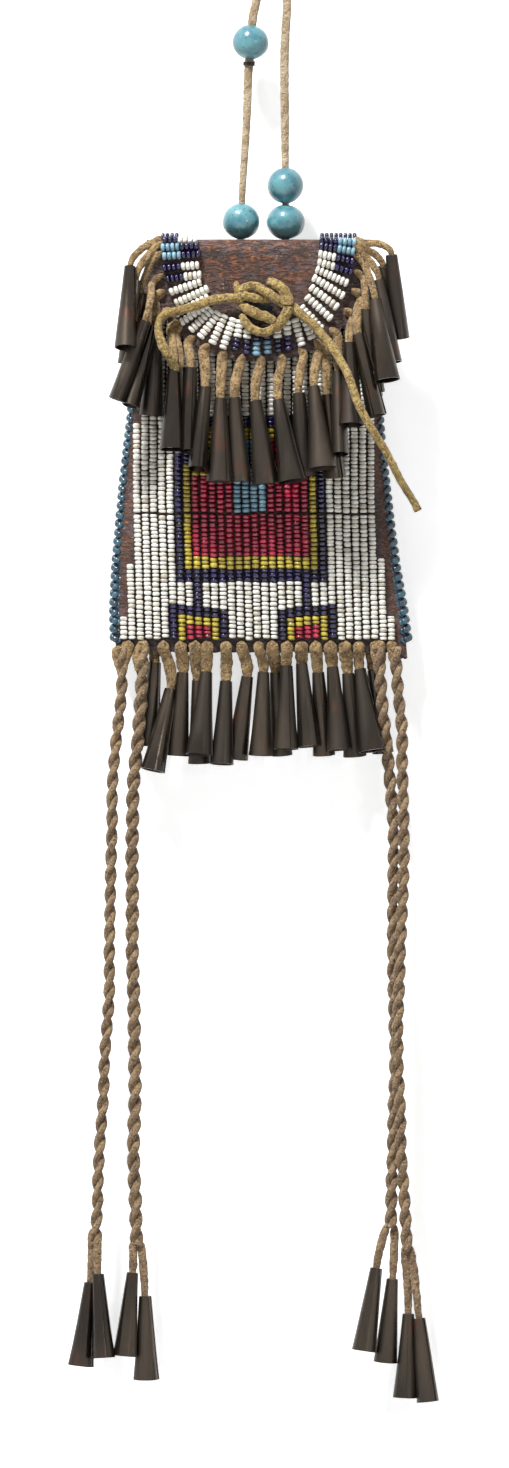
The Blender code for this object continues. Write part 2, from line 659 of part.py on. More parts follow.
def flap_point(u, drop, proud):
    """A point on the flap, by its place across, its run down the hide from the hinge,
    and how far it stands proud of the hide's outer face."""
    reach = FLAP_R + proud
    arc = 0.5 * math.pi * FLAP_R
    start_y = HINGE_Y - HINGE_GAP
    ease = min(1.0, max(0.0, (drop - 0.5 * arc) / FLAP_CROWN_RUN))
    crown = FLAP_CROWN * (u / FLAP_HALF) ** 2 * ease
    if drop < arc:
        turn = drop / FLAP_R
        return Vector((POUCH_X + u, start_y - reach * math.sin(turn) + crown,
                       TOP_Z - FLAP_R + reach * math.cos(turn)))
    return Vector((POUCH_X + u, start_y - reach + crown, TOP_Z - FLAP_R - (drop - arc)))


def flap_drop(u, half, side_run, round_run):
    """Run from the hinge to a U-shaped edge, at a place across."""
    share = min(1.0, abs(u) / half)
    return side_run + round_run * math.sqrt(1.0 - share ** 2)


def u_edge(share, half, side_run, round_run):
    """A point on a U-shaped edge, by its share of the way round: u and run."""
    arc = math.pi * math.sqrt(0.5 * (half ** 2 + round_run ** 2))
    total = 2.0 * side_run + arc
    way = share * total
    if way < side_run:
        return -half, way
    if way > total - side_run:
        return half, total - way
    turn = math.pi * (way - side_run) / arc
    return -half * math.cos(turn), side_run + round_run * math.sin(turn)


def make_flap(group, cutters):
    """Hide flap with its fringe of thongs and cones."""
    half_turn = 0.5 * math.pi
    across = [FLAP_HALF * math.sin(half_turn * share)
              for share in even_lines(-1.0, 1.0, 12)]
    arc_share = half_turn * FLAP_R / (FLAP_SIDE + FLAP_ROUND)
    down = even_lines(0.0, arc_share, 3) + even_lines(arc_share, 1.0, 5)[1:]

    def place(u, share, layer):
        edge = flap_drop(u, FLAP_HALF, FLAP_SIDE, FLAP_ROUND)
        return flap_point(u, share * edge, (layer - 1) * HIDE)

    mesh = finish_bmesh(layered_sheet(across, down, place), "flap")
    flap = add_object("flap", mesh, "hide", group, 40)
    flap.data.materials.append(material("tin"))
    fringe = bpy.data.collections.new("Flap fringe")
    cutters.children.link(fringe)
    for index, (share, top, top_y, lean) in enumerate(FLAP_FRINGE, 1):
        u, drop = u_edge(share, FLAP_HALF, FLAP_SIDE, FLAP_ROUND)
        edge = flap_point(u, drop, -0.5 * HIDE)
        inner = flap_point(u * (1 - FRINGE_INSET / FLAP_HALF), drop - FRINGE_INSET,
                           -0.5 * HIDE)
        hung = (edge.x + top[0], top_y, edge.z + top[1])
        cone = make_hanging_cone("flap_cone_%02d" % index, inner, hung, lean, THONG_R,
                                 fringe)
        cone.hide_render = True
        cone.display_type = "WIRE"
    union = flap.modifiers.new("Fringe", "BOOLEAN")
    union.operation = "UNION"
    union.operand_type = "COLLECTION"
    union.collection = fringe


def make_flap_beadwork(group):
    """U-shaped band of short bead lanes round the flap."""
    outer = (FLAP_HALF - BAND_OUTER_INSET, FLAP_SIDE, FLAP_ROUND - BAND_BOTTOM_INSET)
    inner = (BAND_INNER_HALF, FLAP_SIDE,
             FLAP_ROUND - BAND_BOTTOM_INSET - BAND_BOTTOM_WIDTH)
    lines = even_lines(0.0, 1.0, 2 * BAND_LANES)

    def place(share, across, layer):
        inside = u_edge(share, *inner)
        outside = u_edge(share, *outer)
        u = lerp(inside[0], outside[0], across)
        drop = max(BAND_START, lerp(inside[1], outside[1], across))
        line = round(share * 2 * BAND_LANES)
        proud = SEAT_GAP
        if layer:
            proud += BEAD_BASE + (BEAD_RIDGE if line % 2 else 0.0)
        return flap_point(u, drop, proud)

    bm = layered_sheet(lines, even_lines(0.0, 1.0, 2), place)
    add_object("flap_beadwork", finish_bmesh(bm, "flap_beadwork"), "beads_white", group)


def make_tie(group):
    face_y = HINGE_Y - HINGE_GAP - FLAP_R
    bpy.ops.mesh.primitive_uv_sphere_add(segments=14, ring_count=8, radius=MM)
    knot = bpy.context.object
    knot.name = "tie_knot"
    for owner in list(knot.users_collection):
        owner.objects.unlink(knot)
    group.objects.link(knot)
    for vert in knot.data.vertices:
        vert.co.x *= KNOT_HALF[0]
        vert.co.y *= KNOT_HALF[1]
        vert.co.z *= KNOT_HALF[2]
    knot.location = (KNOT_X * MM, (face_y - SEAT_GAP - KNOT_HALF[1]) * MM, KNOT_Z * MM)
    knot.data.materials.append(material("tie"))
    knot.data.shade_smooth()
    make_cord("tie_branch", TIE_BRANCH, TIE_D, "tie", group)
    make_cord("tie_tail", TIE_TAIL, TIE_D, "tie", group)


def main():
    clear_scene()
    pouch = collection("Strike-a-light pouch")
    cutters = collection("Cutters")
    make_back_panel(pouch)
    make_front_panel(pouch)
    make_top_fold(pouch, cutters)
    make_beadwork(pouch)
    make_edge_beads("edge_beads_left", -1.0, pouch)
    make_edge_beads("edge_beads_right", 1.0, pouch)
    make_strap(pouch)
    make_hem_cones(pouch)
    make_tassels(pouch)
    make_flap(pouch, cutters)
    make_flap_beadwork(pouch)
    make_tie(pouch)


main()
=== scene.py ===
"""Looks of the strike-a-light pouch: hide, seed beads, glass beads, suede thongs and
rolled metal cones, around the fixed frame of the model's solids.

Sizes and places are in millimetres. The origin is the inner crown of the strap loop,
+Z is up and the beaded front faces -Y. u is a place across the pouch, measured from
its middle. The camera, the backdrop and the lamps are at the end.
"""
import math
import random

import bmesh
import bpy
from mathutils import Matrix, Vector, noise


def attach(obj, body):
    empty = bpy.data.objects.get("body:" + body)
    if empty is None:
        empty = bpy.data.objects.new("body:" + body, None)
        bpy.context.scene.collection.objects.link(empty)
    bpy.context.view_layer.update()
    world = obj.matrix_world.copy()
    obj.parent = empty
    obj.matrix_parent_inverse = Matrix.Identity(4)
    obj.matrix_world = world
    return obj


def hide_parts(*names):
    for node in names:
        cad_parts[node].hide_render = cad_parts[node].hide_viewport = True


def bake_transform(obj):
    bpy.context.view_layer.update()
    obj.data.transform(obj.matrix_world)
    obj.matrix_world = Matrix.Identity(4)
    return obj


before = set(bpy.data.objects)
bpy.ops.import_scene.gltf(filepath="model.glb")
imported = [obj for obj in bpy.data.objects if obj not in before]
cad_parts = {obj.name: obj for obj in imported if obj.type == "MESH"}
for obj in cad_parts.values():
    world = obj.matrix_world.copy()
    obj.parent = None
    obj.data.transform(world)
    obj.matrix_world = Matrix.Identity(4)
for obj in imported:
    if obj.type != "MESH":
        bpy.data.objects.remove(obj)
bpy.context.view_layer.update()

# Without a seed, the relief of the hide would be another one in each run
noise.seed_set(5)

MM = 0.001
ASIDE = Vector((1.0, 0.0, 0.0))
UP = Vector((0.0, 0.0, 1.0))
HIDE = 1.5
SEAT_GAP = 0.3
# Fineness of the lumps on thongs and cords
TUBE_LUMPS = 0.9

# The pouch body
POUCH_X = -3.8
TOP_Z = -68.6
MOUTH_Z = -80.6
HEM_Z = -177.6
EDGE_TOP_HALF = 30.0
EDGE_HEM_HALF = 39.4
BACK_INNER_Y = 3.0
POUCH_DEPTH = 8.0
SWELL_Z = -125.0
HEM_SWELL = 0.15
EDGE_STRIP = 0.4
HIDE_COLUMNS = 64
FRONT_COLUMNS = 56
FRONT_ROWS = 48

# The ragged hem: its drop, the height over which it fades, how deep and how often it
# frays, and its deeper corners from a share of the half-width on
HEM_HANGS = 2.1
HEM_FADES = 5.0
HEM_FRAY = 0.9
HEM_FRAYS = 23.0
CORNER_FRAY = 1.6
CORNER_FROM = (0.93, 0.99)
FRONT_FRAY_ASIDE = 0.03

# How far the worn side edges stand out from straight ones, by height
EDGE_DRIFT_LEFT = ((-82.0, 0.3), (-117.0, 0.5), (-135.0, 1.0), (-155.0, 1.0),
                   (-168.0, 0.5), (-177.6, -0.6))
EDGE_DRIFT_RIGHT = ((-82.0, -0.4), (-109.0, -0.8), (-124.0, -1.1), (-147.0, -0.5),
                    (-157.0, 0.0), (-168.0, 0.9), (-177.6, 1.4))

# Top fold and flap
FOLD_R = 4.5
FLAP_R = 4.0
FLAP_ARC = 0.5 * math.pi * FLAP_R
HINGE_Y = -6.2
HINGE_GAP = 0.15
# Where the hide begins and ends to bend at the hinge; the script only turns them into points,
# which it does not use
BLEND_Y = (-4.6, -5.8)
FLAP_HALF = 27.8
FLAP_SIDE = 13.7
FLAP_ROUND = 21.6
FLAP_CROWN = 3.0
FLAP_CROWN_RUN = 15.0
FLAP_FRAY = 0.35
FLAP_FRAYS = 0.35
# Painted shade of the slit in the flap under the knot, coloured near-black: x, z, half-width
# and half-height
FLAP_SLIT_SHADE = (-2.9, -86.9, 3.4, 1.9)
# Flakes of rust: how far below the top, and how far out from the middle
RUST_DOWN = (7.0, 22.0)
RUST_OUT = (8.0, 20.0)
FLAKE_STRETCH = (0.6, 1.0, 1.5)
FIBRE_STRETCH = (0.5, 1.0, 1.8)
# How far in from its side edges the front panel is darkened with painted shade under and
# between the beads
BEAD_SHADE_IN = (2.6, 4.6)

# Columns of seed beads on the front, with heights above their lowest bead
COLUMNS = 33
COLUMN_PITCH = 2.26
COLUMN_LEAN = 0.028
COLUMN_LEAN_MOST = 1.1
COLUMN_EDGE = 2.0
# How high the short outer columns reach, from the outermost inwards
SHORT_COLUMNS_LEFT = (5.3, 20.6)
SHORT_COLUMNS_RIGHT = (6.4, 22.0)
# Seed beads, and the ranges in which their sizes, spaces and places vary
SEED_R = 1.0
SEED_PITCH = 1.19
SEED_LENGTH = 0.9
SEED_PROUD = 0.75
SEED_SIDES = 10
SEED_WIDTHS = (0.95, 1.04)
SEED_LENGTHS = (0.94, 1.03)
SEED_SPACES = (0.78, 1.22)
SEED_TILT = 0.05
SEED_ASIDE = 0.08
SEED_LIFT = 0.05
# Section of a seed bead: shares of its radius and of its half-length
SEED_PROFILE = ((0.34, 0.66), (0.50, 0.98), (0.74, 0.94), (0.93, 0.60), (1.0, 0.0),
                (0.93, -0.60), (0.74, -0.94), (0.50, -0.98), (0.34, -0.66))
# Heights in the pattern, and columns counted out from the middle
BEADS_BOTTOM_Z = -176.4
RED_BLOCK_TOP = 4.0
ARCH_TOP = 6.4
MOTIF_TOP = 8.9
STEM_TOP = 15.7
BOX_BOTTOM = 19.0
BOX_YELLOW_BOTTOM = 22.5
STITCH_LINE = 34.2
STITCH_GAP = 0.45
HIGH_YELLOW = 3.1
HIGH_NAVY = 3.1
SHOULDER_TOP = 50.3
BOX_TOP = 60.2
ARCH_OUT = (3, 9)
STEM_OUT = 6
SHOULDER_OUT = 6
BOX_OUT = 8
BLUE_OUT = 1
# Left and right motif: the column of its stem, and how it slopes for each column
MOTIF_SLOPES = ((9, -0.27), (22, 0.2))
ROW_DRIFT = 0.45
BOTTOM_DRIFTS = (-0.2, 0.6)
# Pieces of the front's beadwork, and the nodes each stands for
FRONT_BEADS = {
    "white_left": ("beads_white_field",), "white_middle": ("beads_white_base",),
    "white_right": (), "navy": ("beads_navy_frame",),
    "yellow": ("beads_yellow_border", "beads_yellow_arch_left",
               "beads_yellow_arch_right"),
    "red": ("beads_red_field", "beads_red_block_left", "beads_red_block_right"),
    "blue": ("beads_blue_stripe",)}

# Rope-like beading along both side edges: its turns, and the beads of each turn
EDGE_WRAP_START = 1.0
EDGE_WRAP_TOP_Z = -83.0
EDGE_WRAP_PITCH = 2.35
EDGE_WRAP_SPACES = (0.94, 1.06)
EDGE_WRAP_R_TOP = 0.55
EDGE_WRAP_R_HEM = 1.0
EDGE_ROPE_IN = 0.6
EDGE_ROPE_BEFORE = 0.4
EDGE_ROPE_DEEP = 1.5
EDGE_SLANT_Y = 1.25
EDGE_SLANT_Z = 0.45
EDGE_BEAD_R = 1.0
EDGE_BEAD_LENGTH = 1.75
EDGE_BEAD_SIDES = 12
EDGE_BEAD_RISE = 0.42
EDGE_BEAD_TURNS = (-2.35, -1.4, -0.45, 0.5, 1.45)

# Lanes of beads round the flap, from the upper left to the upper right: u and z of a
# lane's outer end, u and z of its inner end, and the colours of its outer and inner
# halves where they aren't both white
LANE_BEAD_R = 1.17
LANE_BEAD_PITCH = 1.28
LANE_NEARBY = 0.05
LANES = (
    (-26.2, -67.6, -16.2, -67.1, "navy", "white"),
    (-25.7, -69.0, -16.2, -69.0, "navy", "white"),
    (-26.2, -71.0, -15.9, -70.6, "blue", "navy"),
    (-25.8, -73.3, -15.4, -72.8, "blue", "navy"),
    (-25.7, -76.5, -15.7, -75.7, "navy", "white"),
    (-24.8, -79.5, -15.1, -78.2, "navy", "white"),
    (-23.8, -83.0, -15.1, -80.1),
    (-22.4, -86.0, -13.2, -81.9),
    (-22.4, -88.9, -13.1, -84.1),
    (-20.9, -91.3, -13.4, -86.3),
    (-18.3, -93.3, -12.2, -87.6),
    (-15.7, -95.3, -10.3, -88.2),
    (-12.4, -97.0, -8.7, -88.9),
    (-9.5, -98.4, -6.5, -89.8),
    (-6.2, -98.9, -4.7, -90.4, "navy", "white"),
    (-3.1, -99.8, -2.7, -91.5, "navy", "white"),
    (-0.3, -100.2, -0.4, -92.2, "blue", "navy"),
    (2.7, -99.7, 2.4, -92.0, "blue", "navy"),
    (5.6, -99.3, 5.1, -91.7, "navy", "white"),
    (8.3, -98.8, 7.8, -90.6, "navy", "white"),
    (11.9, -97.6, 9.9, -90.0),
    (14.6, -95.7, 11.9, -88.6),
    (17.3, -93.0, 11.4, -86.8),
    (19.9, -90.3, 12.9, -84.0),
    (21.6, -87.2, 14.0, -81.4),
    (23.2, -84.1, 14.7, -78.9),
    (24.3, -80.6, 15.5, -76.7),
    (25.5, -77.6, 16.0, -74.7, "navy", "white"),
    (25.9, -74.8, 16.2, -72.6, "navy", "white"),
    (26.2, -72.2, 16.5, -70.5, "blue", "navy"),
    (26.6, -69.6, 16.5, -69.0, "blue", "navy"),
    (26.7, -67.6, 16.7, -67.2, "navy", "navy"))

# Strap, glass beads and wrapping
STRAP_D = 1.9
STRAP_END_Z = -70.4
STRAP_THICK = 1.3
STRAP_WIDTHS = (1.75, 2.35)
STRAP_HOLE_R = 1.25
STRAP_ROUTE = (
    (-8.5, STRAP_END_Z), (-8.0, -55.5), (-7.4, -45.8), (-6.8, -36.0), (-6.5, -26.3),
    (-6.1, -19.8), (-5.4, -10.1), (-4.3, -4.4), (-3.5, -1.1), (-2.0, 0.5), (0.0, 0.95),
    (2.0, 0.5), (3.5, -1.1), (4.1, -4.4), (3.8, -10.1), (3.4, -19.8), (3.5, -36.0),
    (3.6, -49.0), (3.8, STRAP_END_Z))
# Side of the strap, height of the centre, half-width and half-height
GLASS_BEADS = ((0, -15.0, 4.85, 4.7), (0, -63.4, 5.0, 4.85), (1, -53.7, 4.85, 4.85),
               (1, -63.6, 5.2, 4.7))
GLASS_HOLE_GAP = 0.25
WRAP_TOP_Z = -20.1
WRAP_HEIGHT = 1.4
WRAP_TURNS = 3
WRAP_SIDES = 24
WRAP_D = 0.5
WRAP_R = 1.35

# Twisted thongs below the hem: diameter and route, x, y and z
TWIST_PITCH = 10.3
TWIST_STRAND = 0.70
TWIST_SPREAD = 0.28
TWISTED_THONGS = (
    (2.6, ((-40.5, 0.0, -178.4), (-40.6, 0.0, -189.9), (-41.4, 0.0, -198.0),
           (-42.3, 0.0, -206.1), (-43.1, 0.0, -216.9), (-43.2, 0.0, -227.7),
           (-43.5, 0.0, -238.5), (-43.7, 0.0, -249.3), (-43.9, 0.0, -260.1),
           (-43.9, 0.0, -270.9), (-44.4, 0.0, -279.0), (-45.2, 0.0, -289.8),
           (-45.6, 0.0, -300.6), (-46.4, 0.0, -311.4), (-47.0, 0.0, -322.2),
           (-47.1, 0.0, -330.3), (-47.8, 0.0, -336.6))),
    (3.0, ((-34.8, 0.0, -178.4), (-35.4, 0.0, -192.6), (-36.2, 0.0, -203.4),
           (-37.1, 0.0, -211.5), (-37.5, 0.0, -216.9), (-37.8, 0.0, -233.1),
           (-37.7, 0.0, -246.6), (-37.7, 0.0, -260.1), (-37.3, 0.0, -273.6),
           (-37.1, 0.0, -287.1), (-37.0, 0.0, -300.6), (-37.4, 0.0, -314.1),
           (-36.9, 0.0, -327.6), (-36.5, 0.0, -339.8))),
    (2.8, ((28.7, -0.8, -178.4), (29.7, -0.4, -192.6), (31.1, 0.3, -206.1),
           (32.1, 0.7, -216.9), (32.9, 1.0, -227.7), (32.8, 1.2, -241.2),
           (32.7, 1.4, -260.1), (32.9, 1.6, -270.9), (33.2, 1.7, -281.7),
           (33.3, 1.7, -292.5), (32.9, 1.4, -303.3), (32.7, 1.0, -314.1),
           (32.3, 0.6, -324.9), (32.1, 0.4, -335.2))),
    (2.7, ((33.3, -0.5, -178.4), (34.0, -0.5, -189.9), (35.1, -0.6, -200.7),
           (35.1, -0.7, -208.8), (35.4, -0.8, -219.6), (35.6, -1.0, -230.4),
           (35.4, -1.2, -241.2), (35.1, -1.3, -249.3), (34.6, -1.5, -260.1),
           (34.3, -1.6, -270.9), (33.9, -1.7, -281.7), (34.0, -1.7, -292.5),
           (34.6, -1.4, -303.3), (34.8, -1.0, -314.1), (35.6, -0.6, -324.9),
           (36.2, -0.4, -335.7), (36.5, -0.4, -341.1))))

# Folded ends of the twisted thongs, sewn on over the hem: width, then x and z down
TWIST_TOPS = (
    (3.6, ((-38.5, -176.6), (-39.3, -179.4), (-40.2, -182.4), (-40.6, -185.6))),
    (3.2, ((-41.4, -178.0), (-41.6, -180.2), (-41.2, -183.0), (-40.8, -186.0))),
    (3.4, ((-34.2, -176.5), (-35.4, -179.2), (-36.4, -181.6), (-36.0, -184.6))),
    (3.3, ((-33.9, -181.4), (-34.6, -182.6), (-35.6, -183.6), (-36.2, -184.6))),
    (4.2, ((28.5, -176.4), (28.7, -179.6), (29.1, -182.6), (29.5, -185.4))),
    (2.9, ((32.1, -176.5), (32.6, -179.4), (33.2, -182.4), (33.7, -185.2))))

# Cones: a cone's top, how far its mouth leans, and the width of its mouth. At the end
# of each twisted thong the top is seen from the thong's end, as x, y and z.
CONE_LENGTH = 22.6
CONE_TOP_R = 1.4
CONE_MOUTH = 5.9
CONE_SHEET = 0.36
CONE_OVERLAP = 0.9
CONE_FLARE = 0.12
CONE_DENT = 0.05
CONE_SEAMS = (-2.6, 1.0)
CONE_SHARP = 35.0
# How narrow and how deep an oval mouth gets, as shares of a round one
CONE_NARROWEST = 0.8
CONE_DEEPEST = 1.12
CONE_STEPS = 30
CONE_LEVELS = (0.0, 0.06, 0.25, 0.5, 0.75, 0.93, 1.0)
TASSEL_CONES = (
    ((-1.3, 1.0, -13.4), (-2.6, 0.0), 6.2), ((0.8, -0.9, -11.0), (1.5, -1.2), 5.7),
    ((-1.1, -0.4, -7.4), (-2.0, -0.6), 5.9), ((2.2, 0.4, -13.8), (0.3, 1.3), 6.2),
    ((-4.0, -0.4, -10.8), (-3.3, -1.0), 5.9), ((0.5, 0.4, -13.8), (-1.9, 1.0), 5.9),
    ((0.3, 0.6, -17.3), (-0.7, 0.4), 6.2), ((3.2, -0.4, -18.4), (2.3, -0.6), 5.4))

# Along the hem: u of the thong's start, then the top as u, y and z from the hem
HEM_CONES = (
    (-25.4, (-23.6, 1.3, -12.1), (-4.8, -2.4), 5.9),
    (-20.8, (-20.2, 1.5, -7.5), (-1.4, 0.9), 5.7),
    (-16.9, (-16.2, 2.6, -9.6), (0.5, 1.6), 5.6),
    (-13.7, (-14.0, 0.6, -7.5), (-1.9, -3.2), 6.6),
    (-8.6, (-8.6, 1.5, -9.9), (-1.1, -2.4), 5.9),
    (-4.3, (-2.9, 1.5, -8.6), (-3.0, 2.4), 5.9),
    (0.3, (1.6, 1.5, -7.5), (-0.8, -1.0), 5.9),
    (3.9, (4.9, 3.0, -7.5), (1.5, 2.9), 5.7),
    (7.9, (7.7, 0.4, -5.8), (-0.2, -2.2), 5.9),
    (11.8, (11.9, 1.5, -5.2), (2.0, -2.1), 5.9),
    (15.7, (16.2, 1.6, -7.5), (1.6, 2.9), 5.7),
    (19.6, (20.1, 1.5, -6.1), (1.8, -2.4), 5.9),
    (23.6, (24.3, 1.5, -7.8), (1.9, 2.3), 5.7),
    (27.3, (27.5, 1.5, -6.7), (3.2, -3.4), 6.8),
    (-28.4, (-27.9, 2.6, -4.8), (-1.8, 1.9), 5.4),
    (30.6, (31.1, 3.4, -6.9), (2.7, 2.6), 5.4))

# Along the flap: share of the edge from the upper left to the upper right, the top seen
# from there in u and z, its y, the lean in u and y, and the mouth's width
FLAP_FRINGE = (
    (0.024, (-6.5, -6.2), -12.0, (-1.1, -5.0), 5.4),
    (0.045, (-5.0, -8.4), -11.0, (-1.8, 0.5), 5.6),
    (0.070, (-3.7, -9.3), -8.5, (-2.8, 5.0), 5.4),
    (0.127, (-2.5, -11.1), -15.0, (-7.6, -0.5), 4.2),
    (0.174, (-0.8, -8.1), -11.0, (-6.2, -3.0), 4.2),
    (0.230, (-2.2, -4.6), -9.5, (-1.2, 0.5), 5.9),
    (0.271, (0.4, -11.0), -12.7, (-0.4, -3.8), 6.2),
    (0.285, (1.2, -10.0), -11.0, (0.8, 0.0), 5.6),
    (0.329, (0.4, -7.2), -12.5, (-0.9, -2.5), 4.6),
    (0.372, (0.2, -10.2), -13.0, (-2.2, -4.5), 4.6),
    (0.418, (-0.6, -11.3), -13.0, (-0.3, -2.5), 6.7),
    (0.462, (-1.8, -10.0), -12.5, (1.5, 0.0), 5.9),
    (0.507, (-1.5, -10.6), -13.0, (2.8, -0.7), 7.0),
    (0.555, (-0.9, -11.0), -13.0, (3.6, -4.0), 7.2),
    (0.606, (-1.1, -10.6), -12.5, (1.6, 0.5), 6.4),
    (0.650, (-1.4, -11.1), -13.5, (2.2, -4.5), 7.0),
    (0.669, (0.4, -14.2), -11.2, (1.9, 0.0), 5.4),
    (0.702, (0.6, -10.3), -12.2, (0.5, -3.8), 4.3),
    (0.770, (-0.8, -7.8), -12.5, (0.5, -4.5), 6.2),
    (0.830, (-0.4, -10.7), -12.8, (4.9, -2.0), 4.9),
    (0.886, (1.5, -9.1), -11.5, (1.8, 3.0), 5.4),
    (0.925, (3.8, -10.8), -12.5, (3.2, -4.5), 6.4),
    (0.945, (4.9, -7.5), -10.0, (3.2, -2.0), 5.4),
    (0.960, (5.9, -5.0), -8.5, (1.9, 6.0), 4.2),
    (0.976, (8.2, -3.0), -10.5, (2.4, 3.5), 4.8))
# Where a thong of the fringe is sewn on, and where it goes over the flap's edge: how
# far out and down from the edge, and how far proud
FRINGE_SEWN = (-2.2, -1.6, 0.7)
FRINGE_OVER = (0.5, 0.6, 0.3)
THONG_WIDTH = 2.7
THONG_WIDTHS = (0.88, 1.1)
THONG_THICK = 1.8
THONG_TIP = 0.14
THONG_END = 0.74
THONG_IN_CONE = 3.5
CORNER_SHARE = 0.13
CORNER_THONG_WIDTH = 2.0
HEM_THONG_WIDTH = 3.3
HEM_THONG_WIDTHS = (0.9, 1.12)
HEM_THONG_RISE = 1.0
HEM_THONG_PROUD = 0.8
HEM_THONG_DOWN = Vector((0.0, 0.1, 2.2))
HIDDEN_HEM_THONGS = (15, 16)
TASSEL_THONG_WIDTH = 2.3
TASSEL_THONG_THICK = 1.4

# Tie thong: its branch lies over the flap's beads, its tail hangs free, and the knot
# between them is made of strands, each a diameter and a route
TIE_D = 2.2
TIE_BRANCH = (
    (-7.8, -13.1, -84.9), (-12.0, -13.3, -84.7), (-16.2, -13.1, -85.3),
    (-20.2, -12.7, -86.7), (-24.6, -12.0, -87.9), (-28.2, -11.9, -88.9),
    (-30.3, -13.2, -91.0), (-30.4, -14.4, -94.6), (-29.0, -15.2, -98.2))
TIE_TAIL = (
    (4.5, -13.6, -86.3), (8.0, -14.0, -89.3), (11.1, -14.2, -91.9), (15.0, -14.8, -96.5),
    (18.2, -17.0, -101.4), (20.6, -19.8, -106.2), (22.8, -21.6, -112.7),
    (25.2, -22.0, -117.6), (27.6, -21.6, -121.6), (31.1, -20.4, -127.3),
    (34.6, -18.4, -134.1), (37.8, -16.6, -139.1), (39.2, -16.0, -141.9))
TIE_BRANCH_END = (
    (-30.2, -14.1, -95.2), (-29.0, -15.2, -98.2), (-27.6, -15.0, -100.6),
    (-26.4, -14.0, -102.4), (-26.0, -13.2, -104.4))
KNOT_STRANDS = (
    (2.7, ((-9.8, -12.9, -84.6), (-6.6, -13.3, -84.2), (-3.5, -13.2, -84.8),
           (-0.8, -12.2, -84.8))),
    (2.5, ((-8.8, -12.4, -83.0), (-6.7, -13.4, -81.6), (-4.0, -13.9, -81.8),
           (-1.2, -14.3, -83.3), (1.6, -14.5, -85.3), (3.6, -13.6, -86.6))),
    (3.1, ((-0.6, -11.2, -80.4), (0.6, -12.8, -80.9), (3.0, -13.9, -82.6),
           (4.3, -14.2, -85.6), (4.1, -14.2, -88.4), (2.5, -13.8, -91.2),
           (0.8, -12.6, -93.0))),
    (2.8, ((-8.8, -12.0, -86.4), (-6.8, -13.2, -87.6), (-4.0, -13.8, -88.9),
           (-1.4, -14.0, -89.8), (0.6, -13.6, -91.0))),
    (2.5, ((-8.0, -11.8, -89.2), (-7.2, -13.0, -91.2), (-5.2, -13.6, -93.1),
           (-2.2, -13.8, -93.9), (0.2, -13.8, -93.0), (1.2, -13.0, -90.8))),
    (2.0, ((-9.6, -11.4, -80.6), (-9.4, -12.4, -82.0), (-9.2, -12.6, -83.8))),
    (2.6, ((3.0, -12.6, -85.2), (5.4, -13.5, -87.0), (8.6, -14.1, -89.8))))
TIE_WIDE = Vector((0.3, 0.0, 1.0))

# The photograph's frame, in the plane of the pouch, and the lamps
VIEW_X = -4.7
VIEW_Z = -201.8
VIEW_HEIGHT = 396.4
VIEW_DISTANCE = 2500.0
SENSOR = 36.0
# Backdrop and floor: place, tip, size, whiteness, glow, and whether its back is clear
SHEETS = (("Backdrop", (0.0, 10.0, -200.0), 0.5 * math.pi, 2400.0, 0.8, 0.66, True),
          ("Floor", (0.0, 0.0, -415.0), 0.0, 4000.0, 0.45, 0.8, False))
# Lamps: place, size and power
LAMPS = (("Key", (-480.0, -780.0, 1280.0), 280.0, 46.0),
         ("Fill", (900.0, -1300.0, 100.0), 260.0, 2.0),
         ("Back fill", (300.0, 1500.0, 300.0), 900.0, 13.0))
WORLD_LIGHT = 0.07


def lerp(low, high, share):
    return low + (high - low) * share


def even_steps(low, high, cells):
    return [lerp(low, high, index / cells) for index in range(cells + 1)]


def circle(steps):
    """Angles of points spread evenly once round."""
    return [2.0 * math.pi * step / steps for step in range(steps)]


def ease(low, high, value):
    """0 below low, 1 above high, and smooth between them."""
    share = min(1.0, max(0.0, (value - low) / (high - low)))
    return share * share * (3.0 - 2.0 * share)


def wave(x, y=0.0, z=0.0):
    """Smooth noise at a place, between -1 and 1."""
    return noise.noise(Vector((x, y, z)))


def jitter(rng, size):
    return rng.uniform(-size, size)


def at(u, y, z):
    """A point by its place across from the pouch's middle."""
    return Vector((POUCH_X + u, y, z))


def edge_half(z):
    return lerp(EDGE_TOP_HALF, EDGE_HEM_HALF, (TOP_Z - z) / (TOP_Z - HEM_Z))


def edge_drift(side, z):
    """How far the worn edge of one side stands out from a straight one."""
    drift = EDGE_DRIFT_LEFT if side < 0 else EDGE_DRIFT_RIGHT
    if z >= drift[0][0]:
        return drift[0][1]
    for high, low in zip(drift, drift[1:]):
        if z >= low[0]:
            return lerp(high[1], low[1], (high[0] - z) / (high[0] - low[0]))
    return drift[-1][1]


def worn_half(side, z):
    """Half-width of the hide panels on one side."""
    return edge_half(z) - EDGE_STRIP + edge_drift(side, z)


def swell(z):
    rise = min(1.0, max(0.0, (z - HEM_Z) / (SWELL_Z - HEM_Z)))
    return lerp(HEM_SWELL, 1.0, math.sin(0.5 * math.pi * rise))


def front_y(u, z, proud=0.0):
    """Outer face of the crowned front panel, or a place proud of it."""
    share = min(1.0, abs(u) / worn_half(u, z))
    inner = BACK_INNER_Y - SEAT_GAP - POUCH_DEPTH * (1.0 - share ** 3) * swell(z)
    return inner - HIDE - proud


def flap_point(u, drop, proud):
    """A point on the flap, by its place across, its run down the hide from the hinge,
    and how far it stands proud of the hide's outer face."""
    reach = FLAP_R + proud
    start_y = HINGE_Y - HINGE_GAP
    share = min(1.0, max(0.0, (drop - 0.5 * FLAP_ARC) / FLAP_CROWN_RUN))
    crown = FLAP_CROWN * (u / FLAP_HALF) ** 2 * share
    if drop < FLAP_ARC:
        turn = drop / FLAP_R
        return at(u, start_y - reach * math.sin(turn) + crown,
                  TOP_Z - FLAP_R + reach * math.cos(turn))
    return at(u, start_y - reach + crown, TOP_Z - FLAP_R - (drop - FLAP_ARC))


